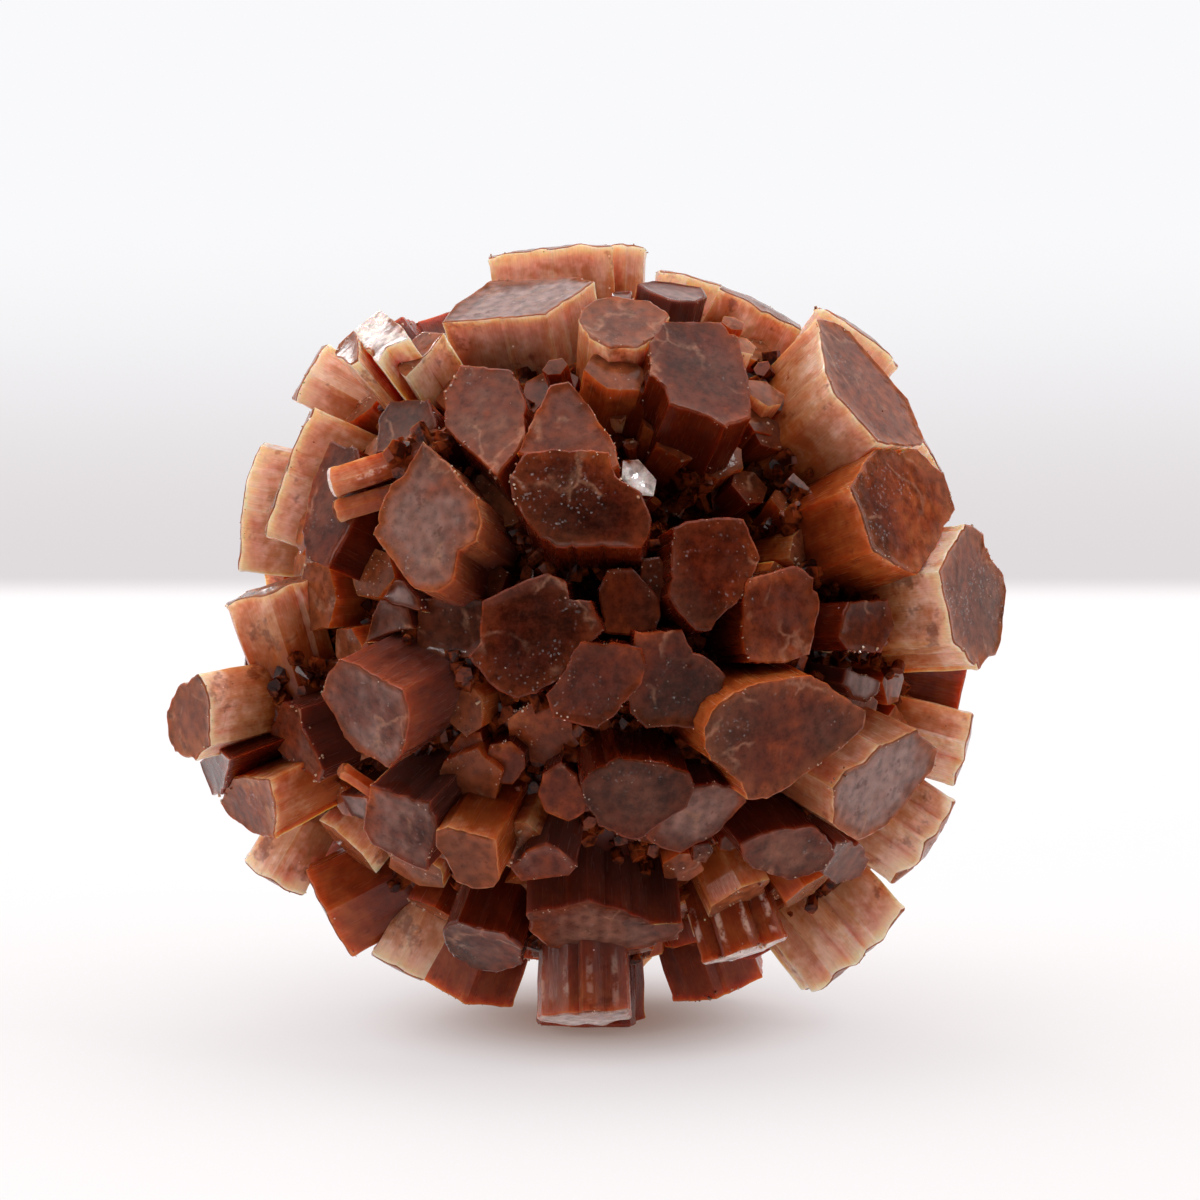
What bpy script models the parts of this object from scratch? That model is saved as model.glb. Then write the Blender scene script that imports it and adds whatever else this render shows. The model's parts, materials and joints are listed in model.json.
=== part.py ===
"""An aragonite cluster: a ball of pseudo-hexagonal crystals that radiate from one middle.

The cluster grew as one piece, so it is one solid. Each crystal is a prism with a flat cap. Its
root lies in the dark mass in the middle, where all crystals are grown together.

The crystals at the front are given as the eye sees them: the corners of each cap, in millimetres
right of and above the ball's middle, and the cap's reach, its distance from the middle. The
others follow from a seeded rule that fills the rest of the ball in the same manner.

Millimetres here, metres in the scene. The cluster stands on z = 0, below its own middle.
"""

import math
import random

import bmesh
import bpy
from mathutils import Vector

MM = 0.001

# The ball
MIDDLE_HEIGHT = 28.3
ROOT_DEPTH = 11.0
CORE_RADIUS = 20.6
CORE_ROUGHNESS = 1.2
ROOT_TAPER = 0.86
HOLLOW = (7.6, 10.2, 15.0)
HOLLOW_ANGLE = math.radians(18)
HOLLOW_DEPTH = 6.0

# Where the front crystals are seen from
LOOK_DOWN = math.radians(8.0)
EYE = Vector((0.36, 2.14, 420.0))

# Caps seen from the front: name, reach, lean of the axis (right, up, towards the eye), corners
FRONT_CAPS = [
    ("top plate", 25.8, (0, 0, 0), [(-11.0, 21.9), (-3.5, 22.5), (-2.6, 23.1), (0.0, 24.9),
     (-1.3, 25.2), (-7.5, 24.9), (-10.1, 23.1)]),
    ("top big", 27.0, (0, 0, 0), [(-0.9, 22.9), (0.2, 23.6), (1.6, 23.8), (4.0, 23.5), (5.4, 22.4),
     (4.6, 21.0), (3.0, 20.2), (1.1, 20.1), (-0.4, 20.9), (-1.1, 22.0)]),
    ("top second", 27.5, (0, 0, 0), [(3.9, 20.4), (4.9, 22.0), (8.9, 22.0), (10.3, 20.9),
     (10.7, 18.9), (11.1, 17.0), (11.1, 15.2), (9.3, 14.5), (7.4, 15.6), (5.3, 16.1), (5.0, 17.3),
     (3.9, 18.2)]),
    ("top grazing", 25.5, (0, 0, 0), [(2.9, 24.7), (4.0, 24.1), (5.4, 23.5), (7.2, 23.4),
     (8.0, 23.8), (7.6, 24.4), (5.4, 24.8), (4.0, 24.9)]),
    ("top left orange", 26.5, (0, 0, 0), [(-12.3, 21.3), (-10.8, 21.2), (-11.8, 19.9),
     (-13.5, 18.1), (-14.1, 18.7), (-13.6, 20.3)]),
    ("left top white", 28.0, (0, 0, 0), [(-15.4, 22.9), (-14.0, 21.9), (-13.2, 20.8),
     (-14.9, 20.2), (-15.5, 19.0), (-17.0, 20.8), (-17.1, 21.5)]),
    ("left top small", 28.3, (0, 0, 0), [(-17.2, 21.4), (-18.3, 20.4), (-18.6, 19.7),
     (-17.4, 18.9), (-16.9, 19.2), (-16.9, 20.8)]),
    ("upper left", 26.5, (0, 0, 0), [(-9.6, 18.9), (-5.8, 18.6), (-5.0, 16.0), (-5.0, 13.9),
     (-5.8, 12.4), (-7.0, 11.1), (-9.3, 13.0), (-10.8, 14.6), (-10.8, 17.0)]),
    ("upper middle", 26.8, (0, 0, 0), [(-4.3, 15.4), (-3.2, 17.5), (-1.9, 17.8), (-0.3, 15.8),
     (1.5, 13.1), (1.8, 11.6), (0.0, 11.0), (-3.0, 11.5), (-5.6, 12.6)]),
    ("small left", 26.0, (0, 0, 0), [(-14.6, 16.3), (-11.9, 16.5), (-11.4, 14.6), (-12.0, 13.4),
     (-13.4, 12.8), (-15.6, 12.6), (-15.4, 15.1)]),
    ("right tall", 28.4, (0, 0, 0), [(15.9, 22.1), (16.9, 22.1), (18.1, 21.4), (19.7, 19.5),
     (21.4, 17.5), (22.4, 16.4), (23.5, 13.6), (23.2, 13.1), (21.6, 13.1), (20.2, 13.4),
     (18.8, 14.9), (17.0, 16.9), (16.4, 18.6)]),
    ("right upper", 28.4, (0, 0, 0), [(20.1, 13.0), (23.0, 12.9), (23.9, 12.0), (25.0, 11.2),
     (25.7, 8.6), (24.8, 7.0), (24.0, 5.4), (23.0, 3.9), (20.9, 5.0), (19.9, 5.6), (19.0, 8.3),
     (18.2, 10.1), (19.3, 11.9)]),
    ("right middle", 29.6, (0, 0, 0), [(26.4, 7.7), (27.7, 6.9), (28.2, 5.2), (29.2, 3.9),
     (29.4, 2.8), (29.0, -0.8), (28.6, -1.8), (28.0, -2.1), (27.4, -2.9), (25.6, -0.9),
     (25.0, 1.9), (24.5, 4.2), (25.2, 5.6)]),
    ("right small", 26.5, (0, 0, 0), [(18.1, 2.0), (20.9, 2.2), (21.4, 0.3), (20.4, -1.6),
     (18.0, -1.4), (17.4, -0.5), (17.7, 1.0)]),
    ("right dark", 26.9, (0, 0, 0), [(10.9, 3.8), (12.5, 4.0), (14.2, 4.6), (15.6, 3.7),
     (16.0, 2.0), (15.4, -1.9), (13.4, -2.4), (11.0, -2.3), (10.6, -0.6), (10.7, 2.2)]),
    ("centre top", 28.0, (0, 0, 0), [(-4.9, 12.6), (-3.0, 12.8), (1.0, 12.7), (1.5, 11.0),
     (3.3, 9.8), (4.1, 7.9), (4.0, 7.2), (3.3, 5.9), (-2.8, 5.9), (-3.9, 6.5), (-4.9, 7.9),
     (-5.9, 9.4), (-6.1, 10.9)]),
    ("centre right", 26.8, (0, 0, 0), [(5.6, 7.3), (7.6, 8.0), (10.6, 7.9), (11.8, 5.1),
     (11.2, 3.9), (10.6, 2.4), (9.0, 1.0), (8.3, -0.1), (7.2, -0.1), (5.1, 2.5), (5.4, 4.8)]),
    ("centre left", 27.5, (0, 0, 0), [(-8.0, 2.0), (-4.1, 3.9), (-3.3, 4.1), (-2.1, 3.4),
     (-1.8, 2.2), (-0.4, 2.0), (0.5, 0.0), (-0.6, -1.2), (-2.6, -3.4), (-4.2, -4.6), (-5.8, -4.8),
     (-7.4, -3.9), (-9.0, -1.9), (-8.2, -0.9)]),
    ("centre low", 27.8, (0, 0, 0), [(-1.0, -0.9), (1.2, -0.8), (3.4, -1.3), (3.6, -2.6),
     (3.3, -3.8), (1.3, -6.3), (0.2, -7.0), (-0.9, -6.9), (-3.0, -6.3), (-3.4, -4.6)]),
    ("centre right low", 27.0, (0, 0, 0), [(2.9, -0.1), (6.2, -0.1), (7.0, -1.7), (8.3, -2.2),
     (9.2, -3.3), (9.0, -5.0), (7.8, -7.0), (3.7, -7.0), (2.6, -5.9), (2.2, -4.0)]),
    ("centre small", 25.6, (0, 0, 0), [(0.2, 3.0), (1.0, 4.3), (2.6, 4.4), (4.6, 2.3), (4.7, 1.0),
     (4.4, 0.0), (2.0, -0.5), (0.6, -0.2)]),
    ("centre sliver", 25.0, (0, 0, 0), [(3.4, 5.1), (4.6, 5.2), (5.2, 4.2), (4.9, 2.0),
     (3.0, 2.6)]),
    ("left big", 27.6, (0, 0, 0), [(-12.3, 13.4), (-10.2, 11.5), (-8.7, 9.6), (-8.2, 7.9),
     (-8.5, 6.4), (-9.7, 5.6), (-10.2, 3.6), (-11.3, 2.6), (-12.9, 2.9), (-14.0, 4.4),
     (-15.2, 6.0), (-15.8, 6.9), (-15.4, 8.6), (-14.6, 10.3), (-13.6, 11.3)]),
    ("left dark", 26.2, (0, 0, 0), [(-18.9, 13.5), (-16.9, 12.9), (-16.3, 10.0), (-17.6, 7.0),
     (-19.0, 4.4), (-20.6, 5.2), (-20.9, 7.0), (-20.2, 10.4)]),
    ("left middle", 28.0, (-0.08, -0.16, -0.1), [(-18.1, -2.1), (-18.9, -3.0), (-19.5, -4.6), (-18.5, -6.4),
     (-17.9, -7.7), (-16.9, -8.7), (-14.7, -9.8), (-13.9, -9.1), (-13.2, -6.5), (-13.7, -4.3),
     (-14.9, -3.6), (-16.8, -2.6)]),
    ("left low", 27.4, (0, 0, 0), [(-16.1, -11.1), (-14.0, -11.7), (-11.8, -12.3), (-11.3, -14.0),
     (-11.6, -15.2), (-12.0, -17.2), (-13.6, -16.7), (-15.9, -15.3), (-16.6, -14.2)]),
    ("low left small", 28.0, (0, 0, 0), [(-11.3, -14.4), (-10.5, -14.1), (-8.5, -14.6),
     (-7.1, -15.0), (-6.9, -17.9), (-7.2, -18.4), (-8.8, -18.5), (-9.9, -17.9), (-10.5, -16.6),
     (-11.4, -15.4)]),
    ("right low big", 28.3, (0, 0, 0), [(10.0, -4.5), (12.0, -3.6), (15.5, -3.3), (17.6, -4.6),
     (19.3, -5.8), (19.2, -7.0), (17.7, -8.4), (15.2, -10.2), (13.3, -11.5), (12.3, -12.1),
     (11.0, -12.0), (10.5, -10.9), (8.3, -9.3), (7.9, -8.4), (7.9, -7.0), (8.4, -5.8)]),
    ("right low pale", 28.0, (0, 0, 0), [(17.0, -11.3), (17.9, -10.1), (19.3, -9.4), (20.3, -8.3),
     (23.0, -7.1), (24.5, -8.6), (24.0, -10.1), (22.0, -12.6), (20.9, -13.9), (18.7, -15.1),
     (17.0, -13.8)]),
    ("low centre", 27.8, (0, 0, 0), [(0.3, -9.8), (1.7, -9.1), (4.4, -9.4), (6.6, -10.3),
     (7.1, -11.3), (6.5, -12.6), (3.4, -14.8), (2.6, -14.9), (0.3, -14.0), (-0.9, -11.7),
     (-0.8, -10.9)]),
    ("low centre grey", 26.0, (0, 0, 0), [(6.0, -11.4), (8.5, -11.0), (10.8, -11.4),
     (10.8, -12.3), (8.4, -14.7), (6.1, -16.0), (5.0, -15.8), (3.7, -14.9), (4.4, -13.0)]),
    ("low right", 26.8, (0, 0, 0), [(10.4, -15.3), (12.0, -14.5), (15.5, -13.9), (16.6, -14.9),
     (17.2, -16.0), (16.4, -17.1), (14.0, -17.9), (11.4, -17.0), (10.5, -16.2)]),
    ("low right edge", 26.6, (0, 0, 0), [(17.2, -15.2), (18.9, -15.1), (19.6, -16.4),
     (19.0, -17.6), (17.2, -18.2), (16.2, -17.3)]),
    ("low grey", 25.4, (0, 0, 0), [(-6.0, -17.0), (-4.8, -15.7), (-3.5, -15.2), (-2.6, -15.6),
     (-1.3, -16.9), (-1.9, -17.5), (-5.2, -17.9)]),
    ("bottom wide", 25.6, (0, 0, 0), [(-4.8, -20.2), (-2.2, -19.8), (-0.5, -19.3), (2.4, -20.3),
     (4.3, -21.0), (6.3, -20.9), (6.0, -22.0), (3.6, -22.7), (0.0, -23.1), (-3.2, -22.7),
     (-4.6, -21.6)]),
    ("left blade", 26.0, (0, 0, 0), [(-22.3, -5.2), (-21.0, -5.6), (-20.9, -7.0), (-20.0, -8.6),
     (-19.4, -10.0), (-19.8, -10.8), (-22.0, -9.2), (-23.2, -8.1), (-23.2, -7.2)]),
    ("left grey upper", 24.6, (0, 0, 0), [(-14.3, 3.6), (-13.6, 3.5), (-12.6, 2.2), (-12.3, 1.3),
     (-14.5, 1.9), (-15.1, 2.3)]),
    ("left grey lower", 24.2, (0, 0, 0), [(-15.3, 2.1), (-13.4, 1.6), (-12.9, 0.1), (-14.6, -0.2),
     (-16.4, -0.9), (-15.9, 1.1)]),
    ("left grey small", 24.5, (0, 0, 0), [(-18.2, -11.7), (-16.1, -11.9), (-16.2, -13.6),
     (-17.3, -13.3), (-17.8, -12.6)]),
    ("left behind", 23.6, (0, 0, 0), [(-12.6, 2.2), (-8.0, 2.2), (-7.8, -1.0), (-9.0, -2.0),
     (-11.0, -2.1), (-12.7, -1.5)]),
    ("low dark first", 22.8, (0, 0, 0), [(-10.4, -8.5), (-9.6, -7.3), (-8.2, -7.3), (-7.9, -8.6),
     (-8.6, -9.3), (-10.0, -9.4)]),
    ("low dark second", 23.2, (0, 0, 0), [(-7.5, -8.2), (-6.0, -7.9), (-5.1, -8.8), (-5.0, -9.9),
     (-5.9, -11.0), (-7.4, -10.9), (-8.0, -9.8)]),
    ("low dark third", 24.0, (0, 0, 0), [(-2.4, -9.4), (-1.3, -10.4), (-0.6, -11.9),
     (-0.8, -13.0), (-1.9, -13.7), (-3.5, -13.1), (-4.1, -11.7), (-3.7, -10.3)]),
    ("low gap left", 23.8, (0, 0, 0), [(7.0, -15.4), (8.1, -15.2), (8.4, -15.8), (7.9, -16.6),
     (7.0, -16.5)]),
    ("low gap right", 24.2, (0, 0, 0), [(9.0, -14.9), (10.2, -13.9), (10.4, -15.2), (9.7, -15.8),
     (8.9, -15.7)]),
    ("right gap grey", 24.4, (0, 0, 0), [(18.0, -2.8), (19.6, -3.3), (20.4, -3.7), (20.2, -4.5),
     (19.4, -5.2), (18.6, -5.0), (17.7, -3.9)]),
    ("bright facet", 23.4, (0.25, 0.12, 0.3), [(2.0, 12.1), (3.1, 12.2), (4.4, 10.7), (4.2, 9.5),
     (3.0, 9.6), (1.9, 10.8)]),
    ("left far", 31.4, (0, 0, 0.2), [(-28.3, -3.0), (-29.9, -4.3), (-30.6, -5.8), (-30.5, -7.6),
     (-30.0, -8.7), (-28.5, -9.4), (-27.5, -8.2), (-27.4, -5.4), (-27.7, -3.9)]),
    ("left low far", 29.0, (0, 0, 0.12), [(-25.6, -10.4), (-23.2, -10.7), (-22.7, -13.0),
     (-22.8, -14.9), (-24.2, -14.6), (-26.2, -13.2), (-26.8, -12.3), (-26.4, -11.3)]),
    ("left low behind", 29.6, (0, 0, 0), [(-28.2, -9.4), (-27.3, -11.8), (-26.6, -11.7),
     (-26.0, -9.2), (-27.0, -8.4)]),
    ("bottom left brown", 26.6, (0, 0, 0), [(-10.8, -21.3), (-9.8, -20.8), (-8.5, -21.2),
     (-6.5, -21.6), (-5.2, -22.7), (-5.3, -23.9), (-7.0, -24.5), (-8.8, -24.1), (-10.1, -23.3),
     (-10.7, -22.5)]),
    ("top small grey", 25.0, (0, 0, 0), [(1.2, 24.1), (2.6, 24.2), (2.7, 23.5), (1.3, 23.3)]),
]

# Prisms seen from the side, and those whose cap is edge-on: name, middle of the cap (right, up,
# towards the eye), axis (right, up, towards the eye), width, depth along the sight, length
SIDE_PRISMS = [
    ("top back box", (-3.4, 27.4, -1.6), (-0.11, 0.99, 0.05), 8.4, 6.5, 14),
    ("top back pale", (2.3, 27.5, -4.0), (0.05, 1.0, -0.1), 2.7, 3.5, 14),
    ("top back tan", (6.9, 25.4, -1.5), (0.25, 0.96, 0.0), 4.8, 5.0, 13),
    ("top right slab", (12.1, 23.3, 4.0), (0.454, 0.885, 0.10), 6.2, 6.5, 14),
    ("top right behind", (19.1, 21.4, -3.0), (0.60, 0.80, -0.03), 7.0, 6.0, 15),
    ("right behind", (24.2, 12.6, -3.0), (0.86, 0.50, 0.0), 3.6, 5.0, 14),
    ("right edge upper", (26.6, -8.6, 3.0), (0.96, -0.27, 0.02), 5.0, 6.5, 14),
    ("right edge lower", (24.1, -15.5, 1.0), (0.82, -0.57, -0.02), 7.2, 6.5, 15),
    ("left long plate", (-22.2, 11.5, 7.0), (-0.93, 0.36, 0.07), 9.2, 6.0, 13),
    ("left behind plate", (-24.9, 9.0, -2.5), (-0.98, 0.17, -0.05), 8.8, 6.0, 13),
    ("left top pale", (-20.7, 18.6, 2.0), (-0.87, 0.49, 0.05), 4.3, 5.0, 15),
    ("left upright", (-23.3, 3.2, 11.0), (-0.30, 0.95, 0.10), 6.2, 6.0, 12),
    ("left bottom pale", (-23.1, -18.0, -2.5), (-0.50, -0.86, -0.03), 4.7, 5.0, 15),
    ("bottom left long", (-19.2, -20.2, 0.0), (-0.88, -0.46, -0.05), 6.8, 7.0, 15),
    ("bottom left cream", (-14.3, -24.3, 1.0), (-0.49, -0.87, 0.0), 4.0, 5.0, 15),
    ("bottom right prism", (10.8, -23.3, 8.0), (0.30, -0.94, 0.12), 6.0, 6.0, 13),
    ("bottom right shell", (18.9, -23.5, -1.0), (0.64, -0.77, 0.0), 9.0, 5.5, 16),
    ("orange stick upper", (-19.1, 10.4, 18.6), (-0.94, -0.30, -0.16), 2.1, 2.2, 8),
    ("orange stick lower", (-18.7, 8.4, 18.7), (-0.95, -0.28, -0.12), 1.5, 1.6, 7),
    ("orange stick low", (-18.3, -9.8, 19.0), (-0.80, 0.55, 0.20), 1.1, 1.3, 8),
    ("bottom leg", (-0.8, -28.0, 13.0), (0.02, -0.97, 0.22), 6.2, 6.0, 13),
    ("bottom pale strip", (-4.0, -23.4, 7.0), (-0.05, -0.99, 0.10), 0.9, 2.4, 11),
]

# Caps whose corners are worn down: how far, and how much of the cap keeps its height
WORN = {"right edge lower": 1.2, "bottom right shell": 0.9, "top right behind": 0.8}
WORN_FIELD = 0.55

# Feet: name, lean from straight down and turn about the upright axis in degrees, width, clearance
FEET = [
    ("front foot", 9.0, -98.0, 6.6, 0.03),
    ("left foot", 22.0, 152.0, 7.2, 0.03),
    ("right foot", 23.0, 38.0, 6.8, 0.03),
]
REST_WIDTH = 7.0

# The rule for the sides that the eye doesn't see
SEED = 5
DIRECTIONS = 118
SEEN_LIMIT = 0.08
ROOM = 0.86
WIDTHS = (5.2, 9.6)
REACHES = (24.6, 28.6)
LIMB_REACH = 26.2
LOWEST = 0.6

# Crystallites that stand in clumps at the front: right, up, reach, width
CRYSTALLITES = [(12.2, 16.9, 25.0, 2.6), (13.7, 16.0, 24.6, 2.2), (11.8, 14.9, 24.0, 2.4),
                (14.6, 17.9, 25.6, 1.8), (10.5, 20.4, 27.2, 1.9), (9.9, 21.9, 27.6, 1.5),
                (13.9, 8.9, 22.6, 2.8), (16.3, 7.0, 23.2, 3.2), (14.8, 5.8, 23.4, 2.6),
                (18.2, 5.2, 24.2, 2.8), (12.9, 12.2, 21.6, 3.4), (15.9, 9.9, 23.0, 2.4),
                (1.5, 15.6, 23.6, 1.5), (2.5, 13.3, 22.6, 0.9), (-2.9, 18.8, 25.6, 1.6),
                (16.8, -0.6, 23.8, 2.0), (4.3, 17.6, 25.4, 3.6), (6.2, 13.6, 23.6, 3.4),
                (8.7, 12.4, 22.6, 3.2), (4.7, 14.7, 23.6, 2.6), (12.5, 14.0, 23.8, 2.6),
                (11.0, 10.2, 22.0, 2.8), (1.6, 18.4, 26.0, 4.2), (15.2, -18.6, 25.2, 3.6)]

# The small crystals between the large ones, close to the root mass
SMALL_DIRECTIONS = 240
SMALL_WIDTHS = (2.6, 5.2)
SMALL_REACHES = (21.6, 24.0)


def in_world(point):
    """From right, up and towards the eye, about the ball's middle, to the scene in millimetres."""
    sine, cosine = math.sin(LOOK_DOWN), math.cos(LOOK_DOWN)
    across, up, towards = point
    return Vector((across, up * sine - towards * cosine,
                   up * cosine + towards * sine + MIDDLE_HEIGHT))


def from_world(direction):
    sine, cosine = math.sin(LOOK_DOWN), math.cos(LOOK_DOWN)
    return Vector((direction.x, direction.y * sine + direction.z * cosine,
                   direction.z * sine - direction.y * cosine))


def sight(across, up):
    """The direction from the eye through a point of the picture plane in the ball's middle."""
    return (Vector((across, up, 0.0)) - EYE).normalized()


def point_at_reach(across, up, reach):
    """The nearer point where the line of sight is this far from the ball's middle."""
    ray = sight(across, up)
    along = EYE.dot(ray)
    inside = max(along * along - EYE.length_squared + reach * reach, 0.0)
    return EYE + ray * (-along - math.sqrt(inside))


def front_crystal(reach, lean, corners):
    """A cap's corners in space: each line of sight meets the plane of the cap."""
    across = (min(c[0] for c in corners) + max(c[0] for c in corners)) / 2
    up = (min(c[1] for c in corners) + max(c[1] for c in corners)) / 2
    middle = point_at_reach(across, up, reach)
    axis = (middle.normalized() + Vector(lean)).normalized()
    ring = []
    for corner in corners:
        ray = sight(*corner)
        ring.append(EYE + ray * ((middle - EYE).dot(axis) / ray.dot(axis)))
    return ring, middle, axis, middle.dot(axis) - ROOT_DEPTH


def hexagon(middle, axis, side, half_width, half_depth, dice, spread):
    """The ring of an uneven six-sided cap, its first axis along side."""
    across = side - axis * side.dot(axis)
    across.normalize()
    deep = axis.cross(across)
    ring = []
    for k in range(6):
        angle = math.radians(60 * k + 30 + dice.uniform(-spread, spread) * 60)
        size = 1.0 + dice.uniform(-spread, spread)
        ring.append(middle + across * (math.cos(angle) * half_width * size / 0.866)
                    + deep * (math.sin(angle) * half_depth * size))
    return ring


def side_crystal(name, middle, axis, width, depth, length, dice):
    ray = sight(middle[0], middle[1])
    middle = EYE + ray * ((middle[2] - EYE.z) / ray.z)
    axis = Vector(axis).normalized()
    side = Vector((-axis.y, axis.x, 0.0))
    ring = hexagon(middle, axis, side, width / 2, depth / 2, dice, 0.07)
    return [p - axis * WORN.get(name, 0.0) for p in ring], middle, axis, length


def foot_crystal(lean, turn, width, clearance, dice):
    """A crystal slid along its axis until its lowest corner is this far above the ground."""
    lean, turn = math.radians(lean), math.radians(turn)
    down = Vector((math.sin(lean) * math.cos(turn), math.sin(lean) * math.sin(turn),
                   -math.cos(lean)))
    axis = from_world(down)
    ring = hexagon(Vector((0, 0, 0)), axis, Vector((1, 0, 0)), width / 2, width / 2, dice, 0.08)
    drop = max(-(in_world(p).z - MIDDLE_HEIGHT) for p in ring)
    reach = (MIDDLE_HEIGHT - clearance - drop) / math.cos(lean)
    return [p + axis * reach for p in ring], axis * reach, axis, reach - ROOT_DEPTH


def rest_crystal():
    """The crystal straight below the middle. Its level cap is the face that the ball rests on."""
    axis = from_world(Vector((0, 0, -1)))
    middle = axis * MIDDLE_HEIGHT
    ring = []
    for k in range(6):
        angle = math.radians(60 * k)
        offset = Vector((math.cos(angle), math.sin(angle), 0)) * (REST_WIDTH / 2)
        ring.append(middle + from_world(offset))
    return ring, middle, axis, MIDDLE_HEIGHT - ROOT_DEPTH


def spread_evenly(count):
    """Directions spaced evenly over the ball, on a spiral."""
    golden = math.pi * (3 - math.sqrt(5))
    for k in range(count):
        height = 1 - 2 * (k + 0.5) / count
        ring = math.sqrt(1 - height * height)
        yield Vector((ring * math.cos(golden * k), ring * math.sin(golden * k), height))


def angular_size(crystal):
    ring, middle = crystal[0], crystal[1]
    return sum((p - middle).length for p in ring) / len(ring) / middle.length


def hidden_crystals(known, dice):
    """Crystals wherever the known ones leave room, on the sides away from the eye."""
    grown = []
    for axis in spread_evenly(DIRECTIONS):
        width = dice.uniform(*WIDTHS)
        reach = dice.uniform(*REACHES)
        shape = dice.uniform(0.8, 1.2)
        side = Vector((dice.uniform(-1, 1), dice.uniform(-1, 1), dice.uniform(-1, 1)))
        wobble = Vector((dice.uniform(-1, 1), dice.uniform(-1, 1), dice.uniform(-1, 1))) * 0.07
        axis = (axis + wobble).normalized()
        if axis.z > SEEN_LIMIT:
            continue
        if axis.z > -0.35:
            reach = min(reach, LIMB_REACH)
        ring = hexagon(axis * reach, axis, side, width / 2 * shape, width / 2 / shape, dice, 0.09)
        lowest = min(in_world(p).z for p in ring)
        if lowest < LOWEST:
            slide = (LOWEST - lowest) / max(MIDDLE_HEIGHT - in_world(axis).z, 0.2)
            reach -= slide
            ring = [p - axis * slide for p in ring]
        crystal = (ring, axis * reach, axis, reach - ROOT_DEPTH)
        own = angular_size(crystal)
        if all(axis.angle(other[1]) > ROOM * (own + angular_size(other)) for other in known):
            grown.append(crystal)
    return grown


def crystallite(across, up, reach, width, dice):
    middle = point_at_reach(across, up, reach)
    lean = Vector((dice.uniform(-1, 1), dice.uniform(-1, 1), dice.uniform(-1, 1))) * 0.22
    axis = (middle.normalized() + lean).normalized()
    ring = hexagon(middle, axis, Vector((1, dice.uniform(-1, 1), 0)), width / 2, width / 2, dice,
                   0.12)
    return ring, middle, axis, reach - CORE_RADIUS + 6


def small_crystals(known, dice):
    """Short crystals that stand between the large ones. The hollow at the front stays open."""
    grown = []
    hollow = Vector(HOLLOW).normalized()
    for axis in spread_evenly(SMALL_DIRECTIONS):
        width, reach = dice.uniform(*SMALL_WIDTHS), dice.uniform(*SMALL_REACHES)
        lean = Vector((dice.uniform(-1, 1), dice.uniform(-1, 1), dice.uniform(-1, 1))) * 0.16
        side = Vector((dice.uniform(-1, 1), dice.uniform(-1, 1), dice.uniform(-1, 1)))
        middle = axis * reach
        axis = (axis + lean).normalized()
        ring = hexagon(middle, axis, side, width / 2, width / 2, dice, 0.1)
        crystal = (ring, middle, axis, reach - ROOT_DEPTH - 2)
        free = all(middle.angle(other[1]) > 0.75 * angular_size(other) + 0.02 for other in known)
        if free and middle.angle(hollow) > HOLLOW_ANGLE:
            grown.append(crystal)
    return grown


def all_crystals():
    dice = random.Random(SEED)
    crystals = [front_crystal(reach, lean, corners) for _, reach, lean, corners in FRONT_CAPS]
    crystals += [side_crystal(*row, dice) for row in SIDE_PRISMS]
    crystals += [foot_crystal(lean, turn, width, clearance, dice)
                 for _, lean, turn, width, clearance in FEET]
    crystals.append(rest_crystal())
    crystals += hidden_crystals(crystals, dice)
    small = [crystallite(*values, dice) for values in CRYSTALLITES]
    small += small_crystals(crystals, dice)
    print(len(crystals), "large crystals,", len(small), "small ones")
    return crystals + small


def add_prism(shape, ring, middle, axis, length):
    """One closed prism, a little narrower at its root. A worn cap has its corners below its middle."""
    flat = [p - axis * ((p - middle).dot(axis)) - middle for p in ring]
    rows = [[p * ROOT_TAPER + middle - axis * length for p in flat], ring]
    if min((p - middle).dot(axis) for p in ring) < -0.1:
        rows.append([p * WORN_FIELD + middle for p in flat])
    rows = [[shape.verts.new(in_world(p) * MM) for p in row] for row in rows]
    faces = [shape.faces.new(rows[0]), shape.faces.new(rows[-1])]
    for low, high in zip(rows, rows[1:]):
        for k in range(len(ring)):
            n = (k + 1) % len(ring)
            faces.append(shape.faces.new((high[k], high[n], low[n], low[k])))
    bmesh.ops.recalc_face_normals(shape, faces=faces)


def mesh_object(name, shape):
    mesh = bpy.data.meshes.new(name)
    shape.to_mesh(mesh)
    shape.free()
    made = bpy.data.objects.new(name, mesh)
    bpy.context.scene.collection.objects.link(made)
    return made


def root_mass():
    """The lumpy mass in the middle, in which every crystal has its root."""
    shape = bmesh.new()
    bmesh.ops.create_icosphere(shape, subdivisions=3, radius=1.0)
    dice = random.Random(SEED + 1)
    hollow = Vector(HOLLOW).normalized()
    for vertex in shape.verts:
        radius = CORE_RADIUS + dice.uniform(-CORE_ROUGHNESS, CORE_ROUGHNESS)
        radius -= HOLLOW_DEPTH * max(0.0, 1 - vertex.co.angle(hollow) / HOLLOW_ANGLE)
        vertex.co = in_world(vertex.co * radius) * MM
    return mesh_object("aragonite_cluster", shape)


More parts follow.
